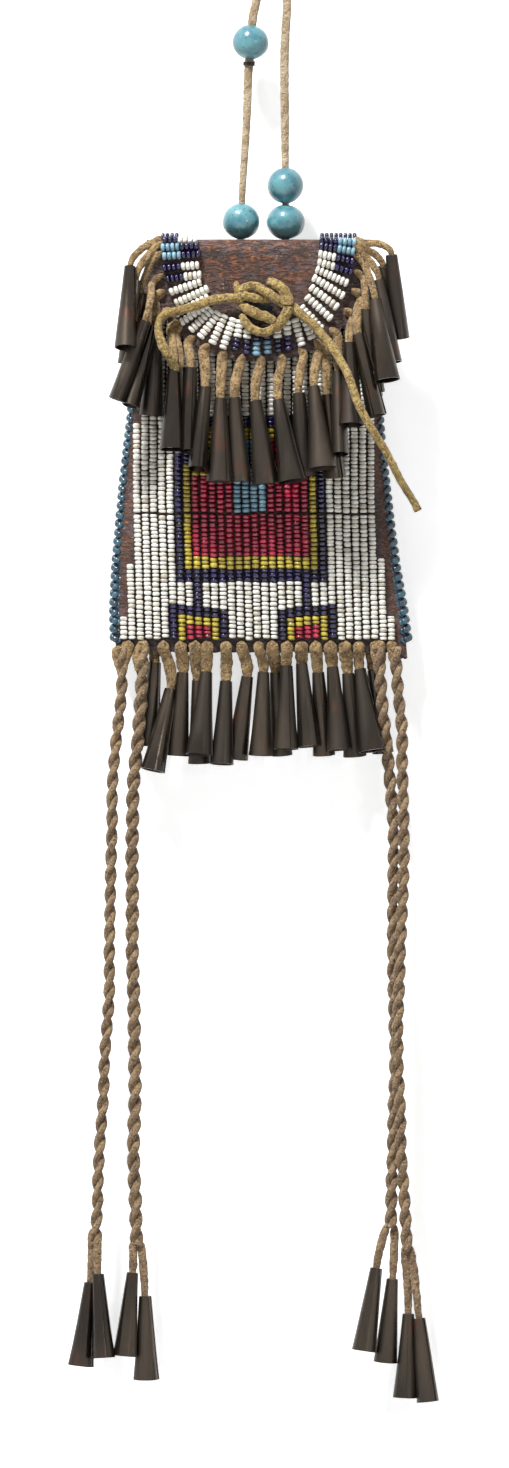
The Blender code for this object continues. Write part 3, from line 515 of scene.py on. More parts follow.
def flap_drop_at(z, proud):
    """Run down the flap to a height, as seen from the front."""
    rise = (z - TOP_Z + FLAP_R) / (FLAP_R + proud)
    if rise > 0.0:
        return FLAP_R * math.acos(min(0.98, rise))
    return FLAP_ARC + (TOP_Z - FLAP_R - z)


def flap_run(u):
    """Run of the hide from the hinge to the flap's edge."""
    return FLAP_SIDE + FLAP_ROUND * math.sqrt(1.0 - min(1.0, abs(u) / FLAP_HALF) ** 2)


def flap_edge(share):
    """A point on the flap's U-shaped edge, by its share of the way round: u and run."""
    arc = math.pi * math.sqrt(0.5 * (FLAP_HALF ** 2 + FLAP_ROUND ** 2))
    total = 2.0 * FLAP_SIDE + arc
    way = share * total
    if way < FLAP_SIDE:
        return -FLAP_HALF, way
    if way > total - FLAP_SIDE:
        return FLAP_HALF, total - way
    turn = math.pi * (way - FLAP_SIDE) / arc
    return -FLAP_HALF * math.cos(turn), FLAP_SIDE + FLAP_ROUND * math.sin(turn)


def smooth_route(points, step):
    """Points at most one step apart on a smooth curve through the route's points."""
    spots = [Vector(point) for point in points]
    padded = [spots[0] * 2 - spots[1]] + spots + [spots[-1] * 2 - spots[-2]]
    curve = [spots[0]]
    for index in range(1, len(padded) - 2):
        before, start, end, after = padded[index - 1:index + 3]
        pieces = max(1, math.ceil((end - start).length / step))
        for piece in range(1, pieces + 1):
            t = piece / pieces
            curve.append(0.5 * (2 * start + (end - before) * t
                                + (2 * before - 5 * start + 4 * end - after) * t ** 2
                                + (3 * start - before - 3 * end + after) * t ** 3))
    return curve


def route_length(points):
    return sum((end - start).length for start, end in zip(points, points[1:]))


def square_to(axis, towards):
    """Two directions square to an axis, the first as near as can be to a given one."""
    first = towards - axis * towards.dot(axis)
    if first.length < 1e-4:
        first = axis.orthogonal()
    first.normalize()
    return first, axis.cross(first)


def arm(first, second, angle, wide=1.0, deep=1.0):
    """From the middle of an oval to its rim, at an angle."""
    return first * math.cos(angle) * wide + second * math.sin(angle) * deep


def declare_cord(centre, diameter):
    """Measures the length of a cord's centre line and keeps nothing of it."""
    route_length(centre) * MM


def size_at(size, share):
    return size(share) if callable(size) else size


class Shape:
    """The vertices and faces of one piece, in millimetres."""

    def __init__(self):
        self.verts = []
        self.faces = []

    def loft(self, rings, looped=False):
        """Join rings of points, all with as many points, in order. The ends are closed,
        or joined to each other."""
        start = len(self.verts)
        size = len(rings[0])
        for ring in rings:
            self.verts += ring
        count = len(rings)
        for index in range(count if looped else count - 1):
            low = start + index * size
            high = start + (index + 1) % count * size
            for side in range(size):
                after = (side + 1) % size
                self.faces.append((low + side, low + after, high + after, high + side))
        if not looped:
            self.faces.append(tuple(start + side for side in range(size))[::-1])
            last = start + (count - 1) * size
            self.faces.append(tuple(last + side for side in range(size)))

    def tube(self, points, width, thick, wide=ASIDE, sides=12, rough=0.0):
        """An oval tube along points, with its width towards wide. Both sizes may be a
        function of the share of the way."""
        rings = []
        last = len(points) - 1
        for index, point in enumerate(points):
            axis = (points[min(last, index + 1)] - points[max(0, index - 1)]).normalized()
            first, second = square_to(axis, wide)
            half_width = 0.5 * size_at(width, index / last)
            half_thick = 0.5 * size_at(thick, index / last)
            ring = []
            for angle in circle(sides):
                out = arm(first, second, angle, half_width, half_thick)
                if rough:
                    out *= 1.0 + rough * noise.noise((point + out) * TUBE_LUMPS)
                ring.append(point + out)
            rings.append(ring)
        self.loft(rings)

    def bead(self, centre, axis, radius, pitch, rng, sides=SEED_SIDES):
        """A rounded bead with a hole along its axis."""
        radius *= rng.uniform(*SEED_WIDTHS)
        half = 0.5 * pitch * SEED_LENGTH * rng.uniform(*SEED_LENGTHS)
        axis = (axis + Vector([jitter(rng, SEED_TILT) for _ in range(3)])).normalized()
        first, second = square_to(axis, Vector((1.0, 0.2, 0.1)))
        self.loft([[centre + arm(first, second, angle) * radius * share
                    + axis * half * height for angle in circle(sides)]
                   for share, height in SEED_PROFILE], looped=True)

    def make(self, name, surface, smooth_angle=60.0):
        """The piece as an object, with its faces outwards and its sharp edges marked."""
        mesh = bpy.data.meshes.new(name)
        mesh.from_pydata([vert * MM for vert in self.verts], [], self.faces)
        bm = bmesh.new()
        bm.from_mesh(mesh)
        bmesh.ops.recalc_face_normals(bm, faces=bm.faces[:])
        bm.to_mesh(mesh)
        bm.free()
        mesh.materials.append(SURFACES[surface])
        mesh.shade_smooth()
        mesh.set_sharp_from_angle(angle=math.radians(smooth_angle))
        obj = bpy.data.objects.new(name, mesh)
        bpy.context.scene.collection.objects.link(obj)
        return obj


def place(obj, body, slot, *nodes):
    """Let a piece ride on a body and stand for nodes. The slot is not used."""
    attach(obj, body)
    if nodes:
        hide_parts(*nodes)
    return obj


def tint(code):
    """A colour as shaders take it, from the code by which screens name it."""
    parts = [int(code[start:start + 2], 16) / 255.0 for start in (0, 2, 4)]
    linear = [part / 12.92 if part <= 0.04045 else ((part + 0.055) / 1.055) ** 2.4
              for part in parts]
    return (*linear, 1.0)


def put(tree, socket, value):
    """Give a socket its value, or a link where the value is another node's output."""
    if isinstance(value, bpy.types.NodeSocket):
        tree.links.new(value, socket)
    else:
        socket.default_value = value


def add_node(tree, kind, values):
    made = tree.nodes.new("ShaderNode" + kind)
    for name, value in values.items():
        put(tree, made.inputs[name], value)
    return made


def add_math(tree, operation, first, second):
    made = add_node(tree, "Math", {0: first, 1: second})
    made.operation = operation
    return made.outputs[0]


class Surface:
    """A material built node by node, with patterns placed by object coordinates."""

    def __init__(self, name, roughness, metallic=0.0):
        self.material = bpy.data.materials.new(name)
        self.material.use_nodes = True
        self.tree = self.material.node_tree
        self.shader = self.tree.nodes["Principled BSDF"]
        self.fix({"Roughness": roughness, "Metallic": metallic})
        self.place = self.tree.nodes.new("ShaderNodeTexCoord").outputs["Object"]

    def fix(self, values):
        """Set the shader's own values, the same all over the surface."""
        for name, value in values.items():
            self.shader.inputs[name].default_value = value

    def node(self, kind, values):
        return add_node(self.tree, kind, values)

    def noise(self, size, detail=3.0, stretch=(1.0, 1.0, 1.0), distortion=0.0):
        """Noise whose features are about size millimetres across."""
        mapped = self.node("Mapping", {"Vector": self.place, "Scale": stretch})
        return self.node("TexNoise", {
            "Vector": mapped.outputs["Vector"], "Scale": 1.0 / (size * MM),
            "Detail": detail, "Distortion": distortion}).outputs["Fac"]

    def ramp(self, value, low, high):
        """0 up to low, 1 from high on."""
        made = self.node("MapRange", {"Value": value, "From Min": low, "From Max": high})
        made.interpolation_type = "SMOOTHSTEP"
        return made.outputs["Result"]

    def blots(self, size, low, high, detail=3.0, stretch=(1.0, 1.0, 1.0),
              distortion=0.0):
        """Blots about size millimetres across: 1 where noise is over high."""
        return self.ramp(self.noise(size, detail, stretch, distortion), low, high)

    def dots(self, size, low, high):
        """Round dots about size millimetres apart: 1 within low of their middles."""
        cells = self.node("TexVoronoi", {"Vector": self.place,
                                         "Scale": 1.0 / (size * MM)})
        return self.rest(self.ramp(cells.outputs["Distance"], low, high))

    def math(self, operation, first, second=0.0):
        return add_math(self.tree, operation, first, second)

    def times(self, first, second):
        return self.math("MULTIPLY", first, second)

    def plus(self, first, second):
        return self.math("ADD", first, second)

    def rest(self, share):
        """What a share leaves of 1."""
        return self.math("SUBTRACT", 1.0, share)

    def off(self, axis, middle):
        """How far a place lies along an axis from a middle, in metres."""
        return self.math("ABSOLUTE", self.math("SUBTRACT", self.axis(axis), middle * MM))

    def axis(self, name):
        return self.node("SeparateXYZ", {"Vector": self.place}).outputs[name]

    def mix(self, share, first, second):
        made = self.tree.nodes.new("ShaderNodeMix")
        made.data_type = "RGBA"
        for name, value in (("Factor", share), ("A", first), ("B", second)):
            put(self.tree, made.inputs[name], value)
        return made.outputs["Result"]

    def lay(self, base, share, most, code):
        """Lay a colour over the base by a share, at its most by so much."""
        return self.mix(self.times(share, most), base, tint(code))

    def colour(self, value):
        put(self.tree, self.shader.inputs["Base Color"], value)

    def roughness(self, value):
        put(self.tree, self.shader.inputs["Roughness"], value)

    def bump(self, height, depth):
        """Relief about depth millimetres deep."""
        made = self.node("Bump", {"Strength": 1.0, "Distance": depth * MM,
                                  "Height": height})
        put(self.tree, self.shader.inputs["Normal"], made.outputs["Normal"])


def rusty(hide):
    """1 in the flakes of rust at the flap's upper middle."""
    high = hide.ramp(hide.axis("Z"), (TOP_Z - RUST_DOWN[1]) * MM, (TOP_Z - RUST_DOWN[0]) * MM)
    near = hide.rest(hide.ramp(hide.off("X", POUCH_X), RUST_OUT[0] * MM, RUST_OUT[1] * MM))
    flakes = hide.blots(1.9, 0.44, 0.58, 8.0, FLAKE_STRETCH, 0.8)
    return hide.times(hide.times(high, near), flakes)


def painted_slit_shade(hide):
    """1 in the slit of the flap, which lies in front of the hinge: there the hide is painted
    near-black as the shade inside the slit.
    """
    off = 0.0
    for axis, middle, half in (("X", *FLAP_SLIT_SHADE[::2]), ("Z", *FLAP_SLIT_SHADE[1::2])):
        ratio = hide.math("DIVIDE", hide.off(axis, middle), half * MM)
        off = hide.plus(off, hide.math("POWER", ratio, 2.0))
    before = hide.math("LESS_THAN", hide.axis("Y"), HINGE_Y * MM)
    return hide.times(hide.rest(hide.ramp(off, 0.7, 1.3)), before)


def painted_shade_under_beads(hide):
    """1 on the front panel where the columns of beads lie, 0 along its side edges: where the
    hide gets painted shade under and between the beads.
    """
    spread = (EDGE_HEM_HALF - EDGE_TOP_HALF) / (TOP_Z - HEM_Z)
    down = hide.math("SUBTRACT", TOP_Z * MM, hide.axis("Z"))
    half = hide.plus(EDGE_TOP_HALF * MM, hide.times(down, spread))
    inside = hide.math("SUBTRACT", half, hide.off("X", POUCH_X))
    return hide.ramp(inside, BEAD_SHADE_IN[0] * MM, BEAD_SHADE_IN[1] * MM)


def hide_surface(name, deep, pale, dark_share, bead_shade=False):
    """Worn brown hide, finely flaked and fibrous, with rust-orange flakes at the flap's
    upper middle, near-black painted shade in the slit under the tie's knot, and on the front
    panel painted shade under the beads."""
    hide = Surface(name, 0.62)
    base = hide.mix(hide.blots(9.0, 0.36, 0.66, 5.0), tint(deep), tint(pale))
    base = hide.lay(base, hide.blots(4.0, 0.5, 0.64, 4.0), 0.55, "685A60")
    orange = hide.mix(hide.blots(1.1, 0.44, 0.64), tint("6E4029"), tint("A8643A"))
    base = hide.mix(hide.times(rusty(hide), 0.8), base, orange)
    fibres = hide.blots(0.95, 0.37, 0.56, 7.0, FIBRE_STRETCH, 0.8)
    base = hide.lay(base, hide.rest(fibres), dark_share, "241814")
    base = hide.lay(base, hide.blots(0.9, 0.68, 0.74, 2.0), 0.5, "C7AE92")
    # Painted shade: the slit under the knot is coloured near-black
    base = hide.mix(painted_slit_shade(hide), base, tint("060403"))
    # Painted shade: the hide under and between the bead columns is darkened
    if bead_shade:
        base = hide.lay(base, painted_shade_under_beads(hide), 0.85, "1E1210")
    hide.colour(base)
    grain = hide.noise(0.55, 5.0)
    hide.bump(hide.plus(hide.times(grain, 0.4), hide.times(fibres, 0.6)), 0.45)
    hide.roughness(hide.plus(0.45, hide.times(grain, 0.35)))
    return hide.material


def suede_surface(name, pale, deep, speck, fleck, speck_share=0.54):
    """Suede thong: napped, with darker specks and pale flecks."""
    suede = Surface(name, 0.85)
    base = suede.mix(suede.blots(2.4, 0.34, 0.66, 4.0), tint(deep), tint(pale))
    base = suede.lay(base, suede.blots(0.75, speck_share, speck_share + 0.08), 0.8, speck)
    suede.colour(suede.lay(base, suede.dots(0.8, 0.14, 0.36), 0.6, fleck))
    suede.bump(suede.plus(suede.noise(0.45, 5.0), suede.times(suede.noise(1.1), 1.1)), 0.6)
    suede.fix({"Sheen Weight": 0.2, "Sheen Roughness": 0.6})
    return suede.material


def tin_surface():
    """Rolled tin with a dark grey-brown patina and faint rust."""
    tin = Surface("Patinated tin", 0.36, 0.8)
    base = tin.mix(tin.blots(19.0, 0.38, 0.62, 1.0, (1.0, 1.0, 0.4)), tint("38322D"),
                   tint("484037"))
    base = tin.lay(base, tin.blots(1.4, 0.4, 0.7, 3.0, (1.0, 1.0, 0.12)), 0.3, "2E2722")
    base = tin.lay(base, tin.blots(6.0, 0.60, 0.70, 4.0, (1.0, 1.0, 0.5)), 0.5, "543628")
    tin.colour(base)
    dull = tin.blots(11.0, 0.36, 0.56, 1.0, (1.0, 1.0, 0.3))
    tin.roughness(tin.plus(0.15, tin.times(dull, 0.36)))
    tin.bump(tin.noise(1.6, 3.0, (1.0, 1.0, 0.2)), 0.08)
    return tin.material


def bead_surface(name, pale, deep, odd, roughness=0.16, through=0.0):
    """Seed beads, each a slightly different shade and a few of an odd one."""
    bead = Surface(name, roughness)
    share = bead.node("NewGeometry", {}).outputs["Random Per Island"]
    base = bead.mix(bead.ramp(share, 0.0, 0.85), tint(deep), tint(pale))
    bead.colour(bead.mix(bead.ramp(share, 0.91, 0.93), base, tint(odd)))
    bead.fix({"Coat Weight": 0.25, "Coat Roughness": 0.06})
    if through:
        bead.fix({"Subsurface Weight": through, "Subsurface Radius": (0.6, 0.4, 0.35),
                  "Subsurface Scale": MM})
    return bead.material


def glass_surface():
    """Opaque turquoise glass with dark specks and a satin face."""
    glass = Surface("Turquoise glass", 0.28)
    base = glass.mix(glass.blots(5.0, 0.3, 0.7), tint("3E7584"), tint("639CA4"))
    glass.colour(glass.lay(base, glass.dots(1.5, 0.10, 0.22), 0.7, "1E3F49"))
    glass.bump(glass.noise(1.2), 0.12)
    glass.fix({"Coat Weight": 0.3})
    return glass.material


SURFACES = {
    "hide": hide_surface("Worn hide", "3C2A24", "583F35", 0.85),
    "front_hide": hide_surface("Red-brown hide", "50352A", "6E4A38", 0.65, True),
    "suede": suede_surface("Tan suede", "AC8D5C", "7E623A", "4C371C", "D6BD8A"),
    "strap": suede_surface("Strap suede", "C9B596", "A68D6C", "7E6446", "DCCBB0", 0.62),
    "twisted": suede_surface("Brown suede", "9F8460", "765C40", "4A3724", "C2A67C"),
    "tie": suede_surface("Olive-gold suede", "B59A58", "8E7136", "5A4420", "E2CD8E"),
    "tin": tin_surface(),
    "glass": glass_surface(),
    "sinew": suede_surface("Dark sinew", "4A3A30", "2E231D", "1C1512", "5A4A3C"),
    "white": bead_surface("White beads", "FDFAF2", "ECE7DA", "CFC8B6", 0.18, 0.1),
    "navy": bead_surface("Navy beads", "180C4C", "0B0628", "0C081C", 0.06),
    "yellow": bead_surface("Yellow beads", "CDB93A", "A8922A", "B3A24C", 0.14),
    "red": bead_surface("Red beads", "BC1440", "960C30", "7A0A26", 0.08),
    "blue": bead_surface("Light blue beads", "8FB6C6", "6C93A8", "5C8098"),
    "teal": bead_surface("Steel blue beads", "2F586C", "183648", "3A6068", 0.12),
}


def sheet_mesh(columns, rows, point):
    """A closed sheet with two faces. point(column, row, layer) gives each corner, and
    layer 1 is the outer face."""
    shape = Shape()
    index_of = {}
    for layer in (0, 1):
        for row in range(rows + 1):
            for column in range(columns + 1):
                index_of[column, row, layer] = len(shape.verts)
                shape.verts.append(point(column, row, layer))
    for row in range(rows):
        for column in range(columns):
            for layer in (0, 1):
                corners = [index_of[column + right, row + up, layer]
                           for right, up in ((0, 0), (1, 0), (1, 1), (0, 1))]
                shape.faces.append(tuple(corners if layer else corners[::-1]))
    rim = [(column, 0) for column in range(columns)]
    rim += [(columns, row) for row in range(rows)]
    rim += [(column, rows) for column in range(columns, 0, -1)]
    rim += [(0, row) for row in range(rows, 0, -1)]
    for spot, after in zip(rim, rim[1:] + rim[:1]):
        shape.faces.append((index_of[*spot, 0], index_of[*after, 0],
                            index_of[*after, 1], index_of[*spot, 1]))
    return shape


def side_share(column, columns):
    """Share of the half-width at a column of a panel. They are closer at its edges."""
    return math.sin(0.5 * math.pi * (2.0 * column / columns - 1.0))


def hem_drop(share, z):
    """How far a place near the hem is let down: most at the worn corners."""
    fray = HEM_FRAY * wave(share * HEM_FRAYS, 2.0)
    ragged = HEM_HANGS + fray + CORNER_FRAY * ease(*CORNER_FROM, abs(share))
    return ragged * ease(HEM_Z + HEM_FADES, HEM_Z, z)


def worn(point, size, depth):
    """A point of the hide, moved a little by its age."""
    shift = noise.noise_vector(point / size) * depth
    return point + Vector((0.3 * shift.x, shift.y, 0.3 * shift.z))


def hide_rows():
    """Rows of the long hide, from the back's hem over the fold to the flap's edge:
    each is a kind of place and how far along it lies."""
    rows = [("back", HEM_Z)]
    for kind, low, high, cells in (
            ("back", HEM_Z, MOUTH_Z, 36), ("back", MOUTH_Z, TOP_Z - FOLD_R, 3),
            ("fold", 0.0, 0.5 * math.pi, 6),
            ("top", BACK_INNER_Y + HIDE - FOLD_R, HINGE_Y, 5)):
        rows += [(kind, value) for value in even_steps(low, high, cells)[1:]]
    return rows + [("flap", share) for share in even_steps(0.0, 1.0, 34)]


def hide_point(share, kind, value, layer):
    inset = HIDE * (1 - layer)
    outer_y = BACK_INNER_Y + HIDE
    if kind == "back":
        return at(share * worn_half(share, value), outer_y - inset,
                  value - hem_drop(share, value))
    half = worn_half(share, TOP_Z)
    if kind == "fold":
        reach = FOLD_R - inset
        return at(share * half, outer_y - FOLD_R + reach * math.cos(value),
                  TOP_Z - FOLD_R + reach * math.sin(value))
    if kind == "top":
        return at(share * half, value, TOP_Z - inset)
    u = share * FLAP_HALF
    drop = value * flap_run(u) + FLAP_FRAY * value * wave(u * FLAP_FRAYS, 7.0)
    return flap_point(u, drop, -inset)


def make_hide():
    """Back, top fold and flap: one long hide, folded over the top."""
    rows = hide_rows()

    def point(column, row, layer):
        share = side_share(column, HIDE_COLUMNS)
        return worn(hide_point(share, *rows[row], layer), 9.0, 0.35)

    hide = sheet_mesh(HIDE_COLUMNS, len(rows) - 1, point).make("long_hide", "hide")
    cut_strap_holes(hide)
    start, end = [(POUCH_X * MM, y * MM, TOP_Z * MM) for y in BLEND_Y]
    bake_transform(hide)
    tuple(start)
    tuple(end)
    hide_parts("back_panel", "top_fold", "flap")


def cut_strap_holes(hide):
    """The two holes in the fold that the strap goes through."""
    for index in (0, -1):
        bpy.ops.mesh.primitive_cylinder_add(
            vertices=20, radius=STRAP_HOLE_R * MM, depth=8.0 * HIDE * MM,
            location=(STRAP_ROUTE[index][0] * MM, 0.0, TOP_Z * MM), rotation=(0.0, 0.0, 0.2))
        cutter = bpy.context.object
        cut = hide.modifiers.new("Strap hole", "BOOLEAN")
        cut.operation = "DIFFERENCE"
        cut.object = cutter
        bpy.context.view_layer.update()
        graph = bpy.context.evaluated_depsgraph_get()
        mesh = bpy.data.meshes.new_from_object(hide.evaluated_get(graph))
        hide.modifiers.clear()
        hide.data = mesh
        bpy.data.objects.remove(cutter, do_unlink=True)


def make_hide_front():
    """Front panel, open at the mouth, with a ragged hem."""
    heights = even_steps(HEM_Z, MOUTH_Z, FRONT_ROWS)

    def point(column, row, layer):
        share = side_share(column, FRONT_COLUMNS)
        z = heights[row]
        u = share * worn_half(share, z)
        spot = at(u, front_y(u, z) + HIDE * (1 - layer),
                  z - hem_drop(share + FRONT_FRAY_ASIDE, z))
        return worn(spot, 7.0, 0.25)

    front = sheet_mesh(FRONT_COLUMNS, FRONT_ROWS, point).make("front_hide", "front_hide")
    place(front, "pouch", "hide", "front_panel")


def column_u(index, height):
    lean = min(COLUMN_LEAN_MOST, COLUMN_LEAN * height)
    return (index - (COLUMNS - 1) / 2) * COLUMN_PITCH - lean


def column_top(index):
    """Height at which a column ends, where the panel is wide enough for it."""
    height = MOUTH_Z - SEAT_GAP - BEADS_BOTTOM_Z
    if index < len(SHORT_COLUMNS_LEFT):
        return SHORT_COLUMNS_LEFT[index]
    if COLUMNS - 1 - index < len(SHORT_COLUMNS_RIGHT):
        return SHORT_COLUMNS_RIGHT[COLUMNS - 1 - index]
    while height > 0.0:
        u = column_u(index, height)
        z = BEADS_BOTTOM_Z + height
        if abs(u) + COLUMN_EDGE < edge_half(z) + edge_drift(u, z):
            break
        height -= SEED_PITCH
    return height


def box_top(out):
    """Top of the framed box, which is lower over its shoulders than in its middle."""
    if out > BOX_OUT:
        return STEM_TOP
    return BOX_TOP if out < SHOULDER_OUT else SHOULDER_TOP


def seed_colour(index, height):
    """Colour of the front's beadwork, by column and height above its bottom."""
    out = int(abs(index - 0.5 * (COLUMNS - 2)))
    first, last = ARCH_OUT
    if height < STEM_TOP:
        if height < MOTIF_TOP and first <= out <= last:
            if out in (first, last) or height > ARCH_TOP:
                return "navy"
            if out in (first + 1, last - 1) or height > RED_BLOCK_TOP:
                return "yellow"
            return "red"
        return "navy" if height > MOTIF_TOP and out == STEM_OUT else "white"
    if height > box_top(out):
        return "white"
    navy_from = min(box_top(out), box_top(out + 1)) - HIGH_NAVY
    if height < BOX_BOTTOM or height > navy_from:
        return "navy"
    yellow_from = min(navy_from, box_top(out + 2) - HIGH_NAVY) - HIGH_YELLOW
    if height < BOX_YELLOW_BOTTOM or height > yellow_from:
        return "yellow"
    return "blue" if out <= BLUE_OUT and height > STITCH_LINE else "red"


def colour_stops(index, top):
    """Heights where a column may change colour, each with its place as sewn by hand."""
    stops = [0.0, RED_BLOCK_TOP, ARCH_TOP, MOTIF_TOP, STEM_TOP, BOX_BOTTOM,
             BOX_YELLOW_BOTTOM, STITCH_LINE]
    for high in (SHOULDER_TOP, BOX_TOP):
        stops += [high - HIGH_NAVY - HIGH_YELLOW, high - HIGH_NAVY, high]
    stem, slope = MOTIF_SLOPES[index >= COLUMNS // 2]
    sewn = []
    for stop in stops:
        if stop > top - SEED_PITCH:
            break
        drift = ROW_DRIFT * wave(index * 0.4, stop * 0.8, 3.0)
        if 0.0 < stop <= MOTIF_TOP:
            drift += slope * (index - stem)
        sewn.append((stop, stop + drift))
    return sewn + [(top, top)]


def string_beads(shape, index, low, high, rng):
    """Seed beads of uneven lengths on one column, from a height to another."""
    beads = max(1, round((high - low) / SEED_PITCH))
    shares = [rng.uniform(*SEED_SPACES) for _ in range(beads)]
    unit = (high - low) / sum(shares)
    end = low
    for share in shares:
        pitch = share * unit
        height = end + 0.5 * pitch
        end += pitch
        u = column_u(index, height) + jitter(rng, SEED_ASIDE)
        z = BEADS_BOTTOM_Z + height + jitter(rng, SEED_LIFT)
        proud = SEED_PROUD + jitter(rng, SEED_ASIDE)
        shape.bead(at(u, front_y(u, z, proud), z), UP, SEED_R, pitch, rng)


def make_front_beads():
    """Columns of seed beads, strung upright and sewn down between colour changes. The
    white ones are three pieces, from left to right."""
    rng = random.Random(11)
    shapes = {name: Shape() for name in FRONT_BEADS}
    for index in range(COLUMNS):
        stops = colour_stops(index, column_top(index))
        third = ("left", "middle", "right")[3 * index // COLUMNS]
        for (low, sewn_low), (high, sewn_high) in zip(stops, stops[1:]):
            colour = seed_colour(index, 0.5 * (low + high))
            if colour == "white":
                colour = "white_" + third
            if low == 0.0:
                sewn_low = rng.uniform(*BOTTOM_DRIFTS)
            if high == STITCH_LINE:
                sewn_high -= STITCH_GAP
            string_beads(shapes[colour], index, sewn_low, sewn_high, rng)
    for name, shape in shapes.items():
        colour = name.split("_")[0]
        place(shape.make("front_beads_" + name, colour), "pouch", "beads_" + colour,
              *FRONT_BEADS[name])


def make_edge_beading(name, side):
    """Short strings of beads wrapped round a side edge, like the turns of a rope."""
    rng = random.Random(21 + side)
    shape = Shape()
    z = HEM_Z + EDGE_WRAP_START
    while z < EDGE_WRAP_TOP_Z:
        reach = lerp(EDGE_WRAP_R_HEM, EDGE_WRAP_R_TOP,
                     (z - HEM_Z) / (EDGE_WRAP_TOP_Z - HEM_Z))
        for bead, turn in enumerate(EDGE_BEAD_TURNS):
            level = z + EDGE_BEAD_RISE * bead
            u = side * (edge_half(level) + edge_drift(side, level) - EDGE_ROPE_IN
                        + reach * math.cos(turn))
            y = BACK_INNER_Y - EDGE_ROPE_BEFORE + EDGE_ROPE_DEEP * reach * math.sin(turn)
            along = Vector((-side * math.sin(turn), EDGE_SLANT_Y * math.cos(turn),
                            EDGE_SLANT_Z))
            shape.bead(at(u, y, level), along.normalized(), EDGE_BEAD_R,
                       EDGE_BEAD_LENGTH, rng, EDGE_BEAD_SIDES)
        z += EDGE_WRAP_PITCH * rng.uniform(*EDGE_WRAP_SPACES)
    place(shape.make(name, "teal"), "pouch", "beads_teal",
          "edge_beads_" + name.split("_")[-1])


def make_flap_beads():
    """Lanes of beads round the flap, each in two colours."""
    rng = random.Random(31)
    shapes = {name: Shape() for name in ("white", "navy", "blue")}
    for outer_u, outer_z, inner_u, inner_z, *colours in LANES:
        outer_colour, inner_colour = colours or ("white", "white")
        outer, inner = [Vector((u, flap_drop_at(z, SEED_PROUD), 0.0))
                        for u, z in ((outer_u, outer_z), (inner_u, inner_z))]
        run = (inner - outer).length
        beads = round(run / LANE_BEAD_PITCH)
        for bead in range(beads):
            share = (bead + 0.5) / beads
            spots = []
            for nearby in (share - LANE_NEARBY, share, share + LANE_NEARBY):
                flat = outer.lerp(inner, nearby)
                spots.append(flap_point(flat.x, flat.y, SEED_PROUD))
            colour = outer_colour if share < 0.5 else inner_colour
            shapes[colour].bead(spots[1], (spots[2] - spots[0]).normalized(), LANE_BEAD_R,
                                run / beads, rng)
    for name, shape in shapes.items():
        place(shape.make("flap_beads_" + name, name), "flap", "beads_" + name,
              *(["flap_beadwork"] if name == "white" else []))


def cone_axis(lean):
    drop = math.sqrt(CONE_LENGTH ** 2 - lean[0] ** 2 - lean[1] ** 2)
    return Vector((lean[0], lean[1], -drop)).normalized()


def make_cone(name, top, lean, mouth, rng, body, nodes=()):
    """A cone rolled from tin sheet, its free edge lapped over the other."""
    axis = cone_axis(lean)
    first, second = square_to(axis, ASIDE)
    seam = rng.uniform(*CONE_SEAMS)
    sweep = 2.0 * math.pi + CONE_OVERLAP
    narrow = mouth / CONE_MOUTH
    deep = min(CONE_DEEPEST, 1.0 / max(CONE_NARROWEST, narrow))
    dents = rng.uniform(0.0, 50.0)
    rings = []
    for level in CONE_LEVELS:
        outer = []
        inner = []
        centre = top + axis * CONE_LENGTH * level
        for way in even_steps(0.0, 1.0, CONE_STEPS):
            angle = seam + sweep * way
            radius = lerp(CONE_TOP_R, 0.5 * CONE_MOUTH, level)
            radius += CONE_SHEET * way + CONE_FLARE * level ** 6
            radius *= 1.0 + CONE_DENT * wave(math.cos(angle), math.sin(angle),
                                             level * 1.2 + dents)
            out = arm(first, second, angle, lerp(1.0, narrow, level),
                      lerp(1.0, deep, level))
            outer.append(centre + out * radius)
            inner.append(centre + out * (radius - CONE_SHEET))
        rings.append(outer + inner[::-1])
    shape = Shape()
    shape.loft(rings)
    return place(shape.make(name, "tin", CONE_SHARP), body, "tin", *nodes)


def make_thong(name, points, width, thick, body, wide=ASIDE, surface="suede"):
    """A flat thong with a rounded end, narrower where it goes into a cone."""
    end = THONG_END * min(width, THONG_WIDTH)

    def taper(share):
        tip = 1.0 - min(1.0, share / THONG_TIP)
        return math.sqrt(max(0.05, 1.0 - tip ** 2)) * lerp(width, end,
                                                           ease(0.45, 0.95, share))

    shape = Shape()
    shape.tube(smooth_route(points, 0.8), taper, lambda share: min(thick, taper(share)),
               wide, sides=14, rough=0.2)
    return place(shape.make(name, surface), body, "thong")


def thong_bend(start, top, axis):
    """Points of a short thong that bends from its start into a cone's top."""
    corner = top - 0.4 * (top - start).length * axis
    spots = [start * (1 - t) ** 2 + corner * 2 * t * (1 - t) + top * t ** 2
             for t in (0.35, 0.7)]
    return spots + [top, top + THONG_IN_CONE * axis]


def hang_cone(names, starts, width, thick, hung, lean, mouth, rng, body, nodes=(),
              wide=ASIDE, surface="suede"):
    """A short thong from where it starts into a cone's top, and the cone."""
    points = starts + thong_bend(starts[-1], hung, cone_axis(lean))
    return [make_thong(names[0], points, width, thick, body, wide, surface),
            make_cone(names[1], hung, lean, mouth, rng, body, nodes)]


